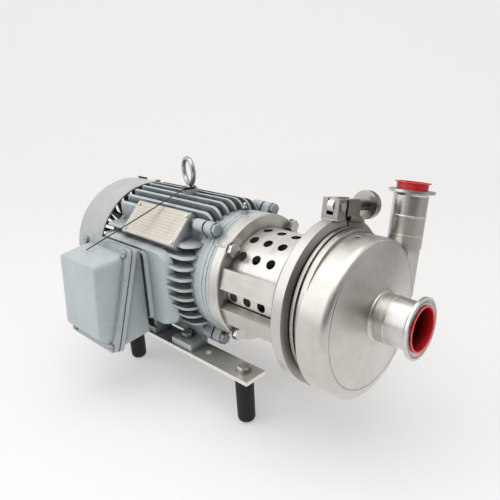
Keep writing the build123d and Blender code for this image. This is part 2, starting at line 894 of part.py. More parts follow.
def seal_spring():
    """Coil spring that loads the rotating face."""
    front = -seal_seat_rear - 0.1 - seal_ring_length - seal_spring_wire
    radius = seal_shaft_radius + 3.2
    length = seal_spring_length - 2 * seal_spring_wire - 0.4
    spine = Helix(length / seal_spring_turns, length, radius, center=(0, 0, 0))
    wire = Plane(origin=spine @ 0, z_dir=spine % 0) * Circle(seal_spring_wire)
    coil = sweep(wire, path=spine)
    return coil.rotate(Axis.Y, -90).translate((front - 0.2, 0, 0))


def seal_collar():
    """Drive collar fixed to the shaft behind the spring."""
    front = -seal_seat_rear - 0.1 - seal_ring_length - seal_spring_length
    return ring(max(front - seal_collar_length, -seal_shaft_rear + 0.1), front,
                seal_ring_radius, seal_shaft_radius + light_fit)


def bearing_spans():
    """Front and rear stations of the two bearings."""
    return [(-front_bearing_station, -front_bearing_station - bearing_width),
            (-rear_bearing_station, -rear_bearing_station - bearing_width)]


def bearing_rings(outer):
    """Outer or inner rings of both bearings, with their ball tracks."""
    middle = (bearing_outer_radius + bearing_inner_radius) / 2
    gap = (bearing_outer_radius - bearing_inner_radius) * 0.13
    ball = ball_radius() + running_fit
    rings = []
    for x0, x1 in bearing_spans():
        if outer:
            body = ring(x0, x1, bearing_outer_radius, middle + gap)
        else:
            body = ring(x0, x1, middle - gap, bearing_inner_radius + 0.01)
        track = revolve(Plane.XZ * Pos((x0 + x1) / 2, middle) * Circle(ball), Axis.X)
        rings.append(body - track)
    return rings


def ball_radius():
    """Radius of the bearing balls."""
    return (bearing_outer_radius - bearing_inner_radius) * 0.29


def bearing_balls():
    """Balls of both bearings."""
    middle = (bearing_outer_radius + bearing_inner_radius) / 2
    balls = []
    for x0, x1 in bearing_spans():
        ball = Pos((x0 + x1) / 2, 0, middle) * Sphere(ball_radius())
        balls += around(ball, ball_count)
    return balls


def ear_places():
    """Places of the four end-bell bolts, as (y, z)."""
    return [(y, z) for y in (-ear_offset, ear_offset) for z in (-ear_height, ear_height)]


def ears(x0, x1):
    """Bolt ears between two stations, each tied to the rim by a tapering web."""
    shapes = []
    for y, z in ear_places():
        angle = degrees(atan2(z, y))
        distance = hypot(y, z)
        knob = disc(x0, x1, ear_radius, y, z)
        web = block(x0, x1, shell_radius - 4, distance, -ear_radius, ear_radius)
        shapes.append(knob + about_shaft(web, angle))
    return shapes


def front_endbell():
    """C-face end bell with its register, bearing housing and bolt ears."""
    rear = x_frame_front
    step = -endbell_step_station
    bearing_front = -front_bearing_station
    pocket_rear = bearing_front - bearing_width
    seat = bearing_outer_radius + bearing_fit
    body = turned(
        (rear, shell_bore + 1), (rear, endbell_step), (step, endbell_step), (step, endbell_radius),
        (x_motor_face, endbell_radius), (x_motor_face, register_radius),
        (x_motor_face + register_height, register_radius), (x_motor_face + register_height, 18),
        (bearing_front, 18), (bearing_front, seat), (pocket_rear, seat),
        (pocket_rear, seat + 7), (bearing_front - 3, seat + 9), (bearing_front - 3, shell_bore - 6),
        (rear, shell_bore - 2))
    for ear in ears(rear + 3, -ear_front):
        body += ear
    for y, z in ear_places():
        body -= disc(rear, -ear_front, ear_bolt_radius + bolt_hole_gap, y, z)
    for y, z in face_bolt_places():
        body -= disc(x_motor_face - 10, x_motor_face, face_bolt_radius + running_fit, y, z)
    for station in endbell_grooves:
        low = -station - endbell_groove_width / 2
        body -= ring(low, low + endbell_groove_width, endbell_radius + 1,
                     endbell_radius - endbell_groove_depth)
    return body


def rear_endbell():
    """Rear end bell with its bearing housing and the lugs that carry the fan cover."""
    bearing_front = -rear_bearing_station
    back = bearing_front - bearing_width
    seat = bearing_outer_radius + bearing_fit
    body = turned(
        (back - 3, 14), (back - 3, seat + 6), (back, seat + 8), (x_frame_rear - 9, shell_radius - 12),
        (x_frame_rear - 9, shell_radius), (x_frame_rear, shell_radius), (x_frame_rear, shell_bore - 2),
        (x_frame_rear - 5, shell_bore - 6), (x_frame_rear - 5, seat + 4), (bearing_front, seat + 4),
        (bearing_front, seat), (back, seat), (back, 14))
    lug = block(-cover_front - 10, x_frame_rear - 1, -7, 7, shell_radius - 6,
                cover_radius - cover_wall - 0.3)
    for copy in cover_screw_turns(lug):
        body += copy
    hole = post(-cover_front - 5, 0, cover_radius - 15, cover_radius, 2.6)
    for copy in cover_screw_turns(hole):
        body -= copy
    return body


def cover_screw_turns(shape):
    """A shape drawn at the top, turned to the four places of the fan cover's screws."""
    first = cover_screw_angle - 90
    return [about_shaft(shape, first + index * 90) for index in range(4)]


def fan_cover():
    """Pressed fan cover with a rounded rear edge and a slotted end."""
    front = -cover_front
    rear = -cover_rear
    outer = disc(rear, front, cover_radius)
    outer = fillet(outer.edges().filter_by(GeomType.CIRCLE).sort_by(Axis.X)[0], cover_corner)
    inner = disc(rear + cover_wall, front, cover_radius - cover_wall)
    inner = fillet(inner.edges().filter_by(GeomType.CIRCLE).sort_by(Axis.X)[0], cover_corner - cover_wall)
    body = outer - inner
    slot = block(rear - 1, rear + cover_wall + 1, -2.2, 2.2, 26, 66)
    for copy in around(slot, cover_slots):
        body -= copy
    hole = post(front - 5, 0, cover_radius - 15, cover_radius + 2, 2.6)
    for copy in cover_screw_turns(hole):
        body -= copy
    return body


def fan_cover_screws():
    """Radial screws of the fan cover."""
    x = -cover_front - 5
    screw = post(x, 0, cover_radius - 11, cover_radius + 0.1, 2.5)
    screw += post(x, 0, cover_radius + 0.1, cover_radius + 3.2, 4.6)
    return cover_screw_turns(screw)


def fin_bank():
    """All the cooling fins, before they are trimmed to the frame's envelope."""
    half = fin_thickness / 2
    fins = []
    reach = fin_radius + 5
    for index in range(fin_count_top):
        y = (index - (fin_count_top - 1) / 2) * fin_pitch
        fins.append(block(x_frame_rear, x_frame_front, y - half, y + half, 20, reach))
        fins.append(block(x_frame_rear, x_frame_front, y - half, y + half, -20, -fin_bottom))
    for index in range(fin_count_side):
        z = (index - (fin_count_side - 1) / 2) * fin_pitch
        fins.append(block(x_frame_rear, x_frame_front, -reach, -20, z - half, z + half))
        fins.append(block(x_frame_rear, x_frame_front, 20, reach, z - half, z + half))
    return fins


def fin_envelope():
    """Ring that trims the fins: full radius, then a rounded nose towards the drive end."""
    nose_start = x_frame_front - fin_nose
    arc = ThreePointArc(
        (nose_start, fin_radius),
        (x_frame_front - fin_nose * 0.36, fin_radius - fin_nose * 0.2),
        (x_frame_front, endbell_step))
    lines = Line((x_frame_front, endbell_step), (x_frame_front, shell_radius - 4))
    lines += Line((x_frame_front, shell_radius - 4), (x_frame_rear, shell_radius - 4))
    lines += Line((x_frame_rear, shell_radius - 4), (x_frame_rear, fin_radius))
    lines += Line((x_frame_rear, fin_radius), (nose_start, fin_radius))
    return revolve(Plane.XZ * make_face(arc + lines), Axis.X)


def pad_outline(distance, x_rear, x_front, low, high, corner):
    """Rounded rectangle square to Y at a distance on the near side."""
    plane = Plane(origin=((x_rear + x_front) / 2, -distance, (low + high) / 2), x_dir=(1, 0, 0),
                  z_dir=(0, -1, 0))
    return plane * RectangleRounded(x_front - x_rear, high - low, corner)


def terminal_pad():
    """Smooth skirt over the side fins, and the neck on it that carries the terminal box."""
    half = split_width / 2 - 1
    foot_plane = pad_face - pad_slope
    start = shell_radius - pad_depth
    base = pad_outline(start, -pad_rear, -pad_front, pad_bottom, pad_top, pad_corner)
    body = extrude(base, foot_plane - start)
    edge = pad_outline(foot_plane, -pad_rear, -pad_front, pad_bottom, pad_top, pad_corner)
    face = pad_outline(pad_face, -pad_rear, -pad_front - pad_edge, pad_bottom + pad_bottom_edge,
                       pad_top - pad_edge / 2, pad_corner - pad_edge / 2)
    body += loft([edge, face])
    root = pad_outline(pad_face, -box_station - half, -box_station + half + neck_margin,
                       gasket_bottom, gasket_top, neck_corner)
    top = pad_outline(box_plane, -box_station - half, -box_station + half, gasket_bottom, gasket_top,
                      neck_corner)
    return body + loft([root, top])


def foot(x_rear, x_front, web_stations, side):
    """One cast foot, open outwards: pad, inner wall and webs up to the shell."""
    top = z_rail + foot_pad
    outline = Polyline(
        (side * foot_inner, top), (side * (foot_outer - 3), top),
        (side * (foot_outer - 5), -shell_radius * 0.66), (side * shell_radius * 0.66, -shell_radius * 0.5),
        close=True)
    body = block(x_rear, x_front, side * foot_inner, side * foot_outer, z_rail, top)
    body += block(x_rear, x_front, side * foot_inner, side * (foot_inner + foot_web),
                  z_rail, -shell_radius * 0.6)
    for x in web_stations:
        body += extrude(Plane.YZ.offset(x) * make_face(outline), foot_web)
    return body - disc(x_rear - 1, x_front + 1, shell_radius - 4)


def feet():
    """Two front feet without webs and two long rear feet with a web at each end."""
    shapes = []
    for side in (-1, 1):
        wall = block(x_frame_rear, -front_foot_front, side * foot_inner, side * (foot_inner + foot_web),
                     z_rail + foot_pad, -shell_radius * 0.6)
        shapes.append(wall - disc(x_frame_rear - 1, x_frame_front, shell_radius - 4))
        shapes.append(foot(-front_foot_rear, -front_foot_front, [], side))
        rear_webs = [x_frame_rear, -rear_foot_front - foot_web]
        shapes.append(foot(x_frame_rear, -rear_foot_front, rear_webs, side))
    return shapes


def foot_bolt_places():
    """Places of the two short foot bolts, as (x, y)."""
    return [(-foot_bolt_station, y) for y in (-foot_spread, foot_spread)]


def motor_frame():
    """Finned cast frame with feet, terminal pad, nameplate pad, ears and eyebolt boss."""
    body = ring(x_frame_rear, x_frame_front, shell_radius, shell_bore)
    envelope = fin_envelope()
    for fin in fin_bank():
        body += fin & envelope
    body += ring(x_frame_front - 6, x_frame_front, endbell_step, shell_bore)
    body += ring(x_frame_rear, x_frame_rear + 6, shell_radius + 5, shell_bore)
    body += terminal_pad() - disc(x_frame_rear, x_frame_front, shell_radius - 4)
    half = plate_width / 2 + plate_pad_margin
    pad_half = plate_length / 2 + plate_pad_margin
    pad = block(-plate_station - pad_half, -plate_station + pad_half, -half, half,
                shell_radius - 4, plate_pad_distance)
    body += about_shaft(pad, 90 - plate_angle)
    body += post(-eye_station, 0, shell_radius - 4, eye_boss_top, eye_boss_radius)
    for ear in ears(x_frame_front - 16, x_frame_front):
        body += ear
    for shape in feet():
        body += shape
    body -= disc(x_frame_rear, x_frame_front, shell_bore)
    for y, z in ear_places():
        body -= disc(x_frame_front - 16, x_frame_front, ear_bolt_radius + running_fit, y, z)
    rear_holes = [(-leg_rear_station, y) for y in (-foot_spread, foot_spread)]
    for x, y in foot_bolt_places() + rear_holes:
        body -= post(x, y, z_rail, z_rail + foot_pad, bolt_radius_m8 + bolt_hole_gap * 2)
    return body - post(-eye_station, 0, eye_boss_top - eye_shank_depth - 2, eye_boss_top,
                       eye_shank_radius + running_fit)


def endbell_bolts():
    """Bolts through the front end bell's ears into the frame."""
    head = -ear_front
    bolts = []
    for y, z in ear_places():
        shank = disc(x_frame_front - 14, head, ear_bolt_radius, y, z)
        bolts.append(shank + hex_x(head, head + ear_bolt_head, ear_bolt_flats, y, z))
    return bolts


def stator_core():
    """Stator lamination stack in the frame's bore."""
    return ring(-core_rear, -core_front, shell_bore - light_fit, rotor_radius + air_gap)


def stator_windings():
    """End turns on both sides of the stator."""
    rings = []
    for x0, x1 in ((-core_rear - winding_reach, -core_rear), (-core_front, -core_front + winding_reach)):
        turn = ring(x0, x1, shell_bore - 5, rotor_radius + 5)
        rings.append(fillet(turn.edges().filter_by(GeomType.CIRCLE), 4))
    return rings


def split_frame(offset):
    """Plane parallel to the terminal box's slanting split, at a distance outwards."""
    middle_y = (split_top[0] + split_bottom[0]) / 2
    middle_z = (split_top[1] + split_bottom[1]) / 2
    run_y = split_top[0] - split_bottom[0]
    run_z = split_top[1] - split_bottom[1]
    length = hypot(run_y, run_z)
    normal = (0, -run_z / length, run_y / length)
    base = Plane(origin=(-box_station, middle_y, middle_z), x_dir=(1, 0, 0), z_dir=normal)
    return base.offset(offset)


def split_height():
    """Length of the split face along its slant."""
    return hypot(split_top[0] - split_bottom[0], split_top[1] - split_bottom[1])


def lid_face_plane():
    """Plane of the terminal cover's outer face."""
    middle_y = (lid_face_top[0] + lid_face_bottom[0]) / 2
    middle_z = (lid_face_top[1] + lid_face_bottom[1]) / 2
    run_y = lid_face_top[0] - lid_face_bottom[0]
    run_z = lid_face_top[1] - lid_face_bottom[1]
    length = hypot(run_y, run_z)
    return Plane(origin=(-box_station - 2.5, middle_y, middle_z), x_dir=(1, 0, 0),
                 z_dir=(0, -run_z / length, run_y / length))


def split_plate(offset, thickness, inset, corner):
    """Rounded plate on the split, from an offset outwards."""
    outline = RectangleRounded(split_width - 2 * inset, split_height() - 2 * inset, corner)
    return extrude(split_frame(offset) * outline, thickness)


def lid_screw_places():
    """Screw places in the split plane, as (along X, up the slant)."""
    across = split_width / 2 - 6.5
    up = split_height() / 2 - 6.5
    return [(-across, -up), (-across, up), (across, -up), (across, up)]


def lid_drills(offset, depth, radius):
    """Holes square to the split at the screw places."""
    return [extrude(split_frame(offset) * Pos(*place) * Circle(radius), depth)
            for place in lid_screw_places()]


def conduit_box():
    """Cast terminal box with a slanting open face and a threaded conduit entry."""
    back = -box_plane - box_gasket
    run_y = split_bottom[0] - split_top[0]
    run_z = split_bottom[1] - split_top[1]
    length = split_height()
    top = (split_top[0] + run_y * box_inset / length, split_top[1] + run_z * box_inset / length)
    bottom = (split_bottom[0] - run_y * box_inset / length, split_bottom[1] - run_z * box_inset / length)
    outline = Polyline((back, box_back_top), (back, box_back_bottom), bottom, top, close=True)
    width = split_width - 2 * box_inset
    x0 = -box_station - width / 2
    body = extrude(Plane.YZ.offset(x0) * make_face(outline), width)
    corners = body.edges().filter_by(GeomType.LINE).filter_by(
        lambda edge: abs(edge.tangent_at(0).X) < 0.1 and edge.length > 3)
    side_edges = [edge for edge in corners if is_side_edge(edge, back)]
    body = fillet(side_edges, 3.5)
    body += split_plate(-box_flange, box_flange, 0, 8)
    cavity = extrude(split_frame(0) * RectangleRounded(width - 2 * box_wall, length - 26, 6), -90)
    cavity -= block(-box_station - 100, -box_station + 100, back - box_wall, 0, -200, 200)
    floor_cut = block(-box_station - 100, -box_station + 100, -200, 0, -200, box_back_bottom + box_wall + 4)
    body -= cavity - floor_cut
    window = Plane(origin=(-box_station, back, window_middle), x_dir=(1, 0, 0), z_dir=(0, -1, 0))
    body -= extrude(window * RectangleRounded(window_width, window_height, 8), box_wall + 2)
    for drill in lid_drills(-box_flange, box_flange, lid_screw_radius + running_fit):
        body -= drill
    return body - post(-box_station, -conduit_entry_offset, box_back_bottom - 8, box_back_bottom + 20,
                       conduit_hole_radius)


def is_side_edge(edge, back):
    """True for an edge of the box's two sides that isn't on the gasket face."""
    middle = edge @ 0.5
    return middle.Y < back - 1


def conduit_gasket():
    """Gasket between the motor's pad and the terminal box."""
    half = split_width / 2 - 2
    outline = pad_outline(box_plane, -box_station - half, -box_station + half, gasket_bottom, gasket_top,
                          neck_corner - 1)
    window = Plane(origin=(-box_station, -box_plane, window_middle), x_dir=(1, 0, 0), z_dir=(0, -1, 0))
    opening = extrude(window * RectangleRounded(window_width, window_height, 8), box_gasket)
    return extrude(outline, box_gasket) - opening


def conduit_cover_gasket():
    """Gasket on the terminal box's slanting flange."""
    outline = RectangleRounded(split_width - 1, split_height() - 1, 8)
    outline -= RectangleRounded(split_width - 24, split_height() - 26, 6)
    body = extrude(split_frame(0) * outline, cover_gasket)
    for drill in lid_drills(0, cover_gasket, lid_screw_radius + 0.3):
        body -= drill
    return body


def conduit_cover():
    """Wedge-shaped domed cover: flange on the split and a tapering hood to its face."""
    flange_front = cover_gasket + box_flange
    body = split_plate(cover_gasket, box_flange, 0, 8)
    base = split_frame(flange_front - 1) * RectangleRounded(
        split_width - 2 * lid_inset, split_height() - 2 * lid_inset, 10)
    face_height = hypot(lid_face_top[0] - lid_face_bottom[0], lid_face_top[1] - lid_face_bottom[1])
    face = lid_face_plane() * RectangleRounded(lid_face_width, face_height, 7)
    hood = loft([base, face])
    front_edges = hood.faces().sort_by(Axis.Y)[0].edges()
    hood = fillet(front_edges, 3)
    body += hood
    inner_base = split_frame(cover_gasket) * RectangleRounded(
        split_width - 2 * lid_inset - 8, split_height() - 2 * lid_inset - 12, 6)
    inner_face = lid_face_plane().offset(-4) * RectangleRounded(lid_face_width - 10, face_height - 14, 4)
    body -= loft([inner_base, inner_face])
    for x, up in lid_screw_places():
        pocket = split_frame(flange_front) * Pos(x, up) * Circle(6.2)
        body -= extrude(pocket, 60)
    for drill in lid_drills(cover_gasket, box_flange + 1, lid_screw_radius + 0.2):
        body -= drill
    return body


def conduit_cover_screws():
    """Screws at the cover's corners."""
    start = cover_gasket + box_flange
    screws = []
    for place in lid_screw_places():
        head = extrude(split_frame(start) * Pos(*place) * Circle(4.4), 3.2)
        slot = extrude(split_frame(start + 2.2) * Pos(*place) * Rectangle(10, 1.2), 2)
        shank = extrude(split_frame(-box_flange + 1) * Pos(*place) * Circle(lid_screw_radius),
                        start + box_flange - 1)
        screws.append(head - slot + shank)
    return screws


def terminal_block():
    """Terminal block on the back wall of the box."""
    back = -box_plane - box_gasket - box_wall
    body = block(-box_station - 26, -box_station + 26, back - 14, back, 12, 26)
    for index in range(5):
        x = -box_station - 20 + index * 10
        body -= block(x - 3.6, x + 3.6, back - 15, back - 8, 14, 24)
    return body


def nameplate():
    """Bare nameplate on its pad, held by four drive rivets."""
    half = plate_length / 2
    side = plate_width / 2
    sheet = block(-plate_station - half, -plate_station + half, -side, side,
                  plate_pad_distance, plate_pad_distance + plate_sheet)
    sheet = fillet(sheet.edges().filter_by(Axis.Z), 3)
    for x, y in rivet_places():
        sheet -= post(x, y, plate_pad_distance, plate_pad_distance + plate_sheet, rivet_radius + running_fit)
    return about_shaft(sheet, 90 - plate_angle)


def rivet_places():
    """Rivet places on the nameplate, drawn flat, as (x, y)."""
    half = plate_length / 2 - 4.5
    side = plate_width / 2 - 4.5
    return [(-plate_station + i * half, j * side) for i in (-1, 1) for j in (-1, 1)]


def nameplate_rivets():
    """Drive rivets at the nameplate's corners."""
    top = plate_pad_distance + plate_sheet
    rivets = []
    for x, y in rivet_places():
        head = post(x, y, top, top + 1.0, rivet_radius + 1.0)
        rivets.append(about_shaft(head + post(x, y, plate_pad_distance, top, rivet_radius), 90 - plate_angle))
    return rivets


def eyebolt():
    """Lifting eye with a shouldered shank in the frame's boss."""
    eye = Torus(eye_ring_radius, eye_wire).rotate(Axis.X, 90).rotate(Axis.Z, eye_turn)
    eye = Pos(-eye_station, 0, eye_centre_height) * eye
    neck_top = eye_boss_top + eye_neck_height
    ring_middle = eye_centre_height - eye_ring_radius
    outline = Polyline(
        (0, eye_boss_top - eye_shank_depth), (eye_shank_radius, eye_boss_top - eye_shank_depth),
        (eye_shank_radius, eye_boss_top), (eye_neck_radius, eye_boss_top), (eye_neck_radius, neck_top),
        (eye_neck_top, ring_middle), (0, ring_middle), close=True)
    stem = revolve(Plane.XZ * make_face(outline), Axis.Z)
    return eye + Pos(-eye_station, 0, 0) * stem


def tie_loop():
    """Strap loop and locking head of the cable tie round the eyebolt's neck."""
    inner = eye_neck_radius + tie_loop_gap
    low = eye_boss_top + tie_rest_gap
    loop = post(-eye_station, 0, low, low + tie_loop_width, inner + tie_loop_thickness)
    loop -= post(-eye_station, 0, low, low + tie_loop_width, inner)
    head = Pos(0, -tie_head_distance(), low + tie_head_height / 2) * Box(
        tie_head_width, tie_head_length, tie_head_height)
    head = head.rotate(Axis.Z, tie_heading())
    return loop + Pos(-eye_station, 0, 0) * head


def tie_head_distance():
    """Distance of the tie's head from the eyebolt's axis."""
    loop_outer = eye_neck_radius + tie_loop_gap + tie_loop_thickness
    return loop_outer + tie_head_length / 2 - tie_head_bite


def tie_heading():
    """Direction in plan in which the tie's tail leaves its head, from -Y, in degrees."""
    return degrees(atan2(eye_station + tie_crest[0], -tie_crest[1]))


def bend_radius(before, corner, after):
    """Largest easy bend at a corner of the tail's route."""
    arriving = corner - before
    leaving = after - corner
    turn = radians(arriving.get_angle(leaving))
    return tie_bend_share * min(arriving.length, leaving.length) / tan(turn / 2)


def tie_tail():
    """Stiff tail of the cable tie, bent over the nameplate's top edge to the terminal cover."""
    heading = radians(tie_heading())
    reach = tie_head_distance() + tie_head_length / 2 + tie_tail_start
    height = eye_boss_top + tie_rest_gap + tie_head_height / 2
    start = Vector(-eye_station + reach * sin(heading), -reach * cos(heading), height)
    route = [start, Vector(*tie_crest), Vector(*tie_edge), Vector(*tie_end)]
    bends = [bend_radius(*route[index:index + 3]) for index in range(len(route) - 2)]
    path = FilletPolyline(*route, radius=bends)
    print("tie tail starts at", start, "length", round(path.length, 1), "radii", [round(r, 1) for r in bends])
    section = Plane(origin=path @ 0, z_dir=path % 0) * Circle(tie_tail_radius)
    return sweep(section, path=path)


def base_rail(side):
    """Flat bar under one pair of feet."""
    near = side * (rail_centre - rail_width / 2)
    far = side * (rail_centre + rail_width / 2)
    bar = block(-rail_rear, -rail_front, near, far, z_rail - rail_thickness, z_rail)
    for station in (leg_front_station, leg_rear_station, rail_open_hole_station, foot_bolt_station):
        bar -= post(-station, side * foot_spread, z_rail - rail_thickness, z_rail, rail_hole_radius)
    return bar


def leg_places():
    """Names and places of the four legs."""
    places = []
    for end, station in (("front", leg_front_station), ("rear", leg_rear_station)):
        for side, sign in (("near", -1), ("far", 1)):
            places.append((f"rubber_leg_{end}_{side}", -station, sign * foot_spread))
    return places


def rubber_leg(x, y):
    """Moulded rubber leg with a rounded tread and a threaded insert."""
    top = z_rail - rail_thickness
    corner = leg_corner
    low = leg_radius - leg_taper
    line = Polyline((0, top), (leg_radius, top), (low, z_floor + corner))
    arc = RadiusArc((low, z_floor + corner), (low - corner, z_floor), corner)
    close = Polyline((low - corner, z_floor), (0, z_floor), (0, top))
    leg = revolve(Plane.XZ * make_face(line + arc + close), Axis.Z)
    leg -= post(0, 0, top - leg_bolt_depth, top, bolt_radius_m8 + running_fit)
    return Pos(x, y, 0) * leg


def base_bolt(x, y, low, seat):
    """Hexagon bolt that stands on its washer at a seat height."""
    under_head = seat + washer_thickness
    shank = post(x, y, low, under_head, bolt_radius_m8)
    return shank + hex_z(x, y, under_head, under_head + bolt_head_m8, bolt_flats_m8)


def base_seat(x):
    """Height on which a base bolt's washer lies: the rail, or a foot's pad behind the front foot."""
    return z_rail if x > -front_foot_front else z_rail + foot_pad


def leg_bolts():
    """Bolts into the legs, the rear ones through the motor's rear feet."""
    low = z_rail - rail_thickness - leg_bolt_depth + 1
    return [base_bolt(x, y, low, base_seat(x)) for name, x, y in leg_places()]


def foot_bolts():
    """Bolts that hold the motor's front feet on the rails."""
    low = z_rail - rail_thickness - nut_height_m8 - 2
    return [base_bolt(x, y, low, base_seat(x)) for x, y in foot_bolt_places()]


def foot_nuts():
    """Nuts under the rails."""
    top = z_rail - rail_thickness
    return [hex_z(x, y, top - nut_height_m8, top, bolt_flats_m8)
            - post(x, y, top - nut_height_m8, top, bolt_radius_m8 + light_fit)
            for x, y in foot_bolt_places()]


def base_washers():
    """Washers under the heads of the leg bolts and foot bolts."""
    places = [(x, y) for name, x, y in leg_places()] + foot_bolt_places()
    washers = []
    for x, y in places:
        low = base_seat(x)
        solid = post(x, y, low, low + washer_thickness, base_washer_radius)
        washers.append(solid - post(x, y, low, low + washer_thickness, bolt_radius_m8 + 0.3))
    return washers


def build_parts():
    """Every node of the pump by name."""
    parts = {
        "motor_frame": motor_frame(),
        "front_endbell": front_endbell(),
        "rear_endbell": rear_endbell(),
        "fan_cover": fan_cover(),
        "fan_cover_screws": fan_cover_screws(),
        "stator_core": stator_core(),
        "stator_windings": stator_windings(),
        "bearing_outer_rings": bearing_rings(True),
        "bearing_inner_rings": bearing_rings(False),
        "bearing_balls": bearing_balls(),
        "endbell_bolts": endbell_bolts(),
        "conduit_gasket": conduit_gasket(),
        "conduit_box": conduit_box(),
        "conduit_cover_gasket": conduit_cover_gasket(),
        "conduit_cover": conduit_cover(),
        "conduit_cover_screws": conduit_cover_screws(),
        "terminal_block": terminal_block(),
        "eyebolt": eyebolt(),
        "tie_loop": tie_loop(),
        "tie_tail": tie_tail(),
        "foot_bolts": foot_bolts(),
        "foot_nuts": foot_nuts(),
        "base_washers": base_washers(),
        "leg_bolts": leg_bolts(),
        "base_rail_near": base_rail(-1),
        "base_rail_far": base_rail(1),
        "nameplate": nameplate(),
        "nameplate_rivets": nameplate_rivets(),
        "adapter": adapter(),
        "guard": guard(),
        "adapter_bolts": adapter_bolts(),
        "adapter_washers": adapter_washers(),
        "back_plate": back_plate(),
        "casing_o_ring": casing_o_ring(),
        "seal_seat": seal_seat(),
        "seal_ring": seal_ring(),
        "seal_spring": seal_spring(),
        "seal_collar": seal_collar(),
        "clamp_half_near": clamp_half_near(),
        "clamp_half_far": clamp_half_far(),
        "clamp_hinge_pin": clamp_hinge_pin(),
        "clamp_pivot_pin": clamp_pivot_pin(),
        "swing_bolt": swing_bolt(),
        "clamp_knob": clamp_knob(),
        "casing": casing(),
        "suction_ferrule": suction_ferrule(),
        "discharge_ferrule": discharge_ferrule(),
        "suction_plug": suction_plug(),
        "discharge_plug": discharge_plug(),
        "motor_shaft": motor_shaft(),
        "rotor_core": rotor_core(),
        "cooling_fan": cooling_fan(),
        "stub_shaft": stub_shaft(),
        "shaft_key": shaft_key(),
        "impeller": impeller(),
        "impeller_nut": impeller_nut(),
    }
    for name, x, y in leg_places():
        parts[name] = rubber_leg(x, y)
    return parts


def solids_of(shape):
    """All the solids of a shape or of a list of shapes."""
    if isinstance(shape, list):
        return [solid for item in shape for solid in item.solids()]
    return list(shape.solids())


os.makedirs("parts", exist_ok=True)
for node, shape in build_parts().items():
    solids = solids_of(shape)
    whole = solids[0] if len(solids) == 1 else Compound(children=solids)
    export_step(whole, f"parts/{node}.step")
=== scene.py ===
# %% [markdown]
# # A sanitary centrifugal pump
#
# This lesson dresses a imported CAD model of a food-plant pump: a stainless drum with two
# ferrules, a band clamp, a perforated guard, and a finned motor on two rails.
# The CAD bodies stay as they are. Blender adds the finishes, the small parts that only the eye
# needs, the floor, the lights and the camera.

# %% Load the frame
from math import cos, pi, radians, sin

import bmesh
import bpy
from mathutils import Matrix, Vector


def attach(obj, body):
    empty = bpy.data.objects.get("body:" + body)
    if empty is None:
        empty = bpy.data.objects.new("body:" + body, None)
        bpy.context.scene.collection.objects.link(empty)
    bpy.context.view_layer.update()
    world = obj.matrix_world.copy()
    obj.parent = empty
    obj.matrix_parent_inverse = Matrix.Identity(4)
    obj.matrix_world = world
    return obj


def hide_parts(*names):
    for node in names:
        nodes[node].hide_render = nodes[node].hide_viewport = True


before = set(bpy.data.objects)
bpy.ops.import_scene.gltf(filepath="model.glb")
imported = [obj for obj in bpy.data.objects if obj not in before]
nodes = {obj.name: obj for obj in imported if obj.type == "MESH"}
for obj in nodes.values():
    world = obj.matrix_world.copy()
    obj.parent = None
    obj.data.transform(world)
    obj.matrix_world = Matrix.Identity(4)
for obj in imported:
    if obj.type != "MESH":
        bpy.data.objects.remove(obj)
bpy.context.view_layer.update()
print("CAD nodes:", len(nodes))

# %% [markdown]
# ## Camera
#
# A product photograph has one viewpoint, and a render can only be compared with it from there.
# The numbers come from fitting circles and edges of known size, so the lens, the place and the
# small roll belong together. The picture's optical centre lies off its middle, which is what
# the camera's shift is for.

# %% Camera
picture = 500
focal_pixels = 531.15
optical_centre = (240.8, 230.8)
azimuth = radians(45.76)
elevation = radians(18.41)
roll = radians(-3.45)
camera_place = Vector((0.2074, -0.4378, 0.2625))

back = Vector((sin(azimuth) * cos(elevation), -cos(azimuth) * cos(elevation), sin(elevation)))
level_right = Vector((cos(azimuth), sin(azimuth), 0))
level_up = back.cross(level_right)
right = level_right * cos(roll) + level_up * sin(roll)
up = level_up * cos(roll) - level_right * sin(roll)

camera_data = bpy.data.cameras.new("camera")
camera_data.sensor_width = 36
camera_data.lens = focal_pixels / picture * camera_data.sensor_width
camera_data.shift_x = (picture / 2 - optical_centre[0]) / picture
camera_data.shift_y = (optical_centre[1] - picture / 2) / picture
camera_data.clip_start = 0.01
camera_data.clip_end = 50
camera = bpy.data.objects.new("camera", camera_data)
bpy.context.scene.collection.objects.link(camera)
turn = Matrix((right, up, back)).transposed().to_4x4()
camera.matrix_world = Matrix.Translation(camera_place) @ turn
bpy.context.scene.camera = camera
print("camera lens", round(camera_data.lens, 2), "mm")

# %% [markdown]
# ## The cable tie's tail
#
# A black cable tie hangs on the lifting eye, and its long stiff tail leans down over the motor
# to the terminal box. A tail like this could be a bent cylinder, but a NURBS curve with a round
# bevel stays smooth at any distance. Its control points are the route of the solid that it
# stands for. The curve becomes a mesh, because a curve's own box is a metre too large all
# round, and the bare line of the same curve is the path that the tube follows.

# %% Cable tie tail
tail_route = [
    (-0.331841, -0.01198, 0.0980),
    (-0.3250, -0.0440, 0.0935),
    (-0.3340, -0.0620, 0.0830),
    (-0.3810, -0.1380, 0.0394),
]
tail_radius = 0.0008

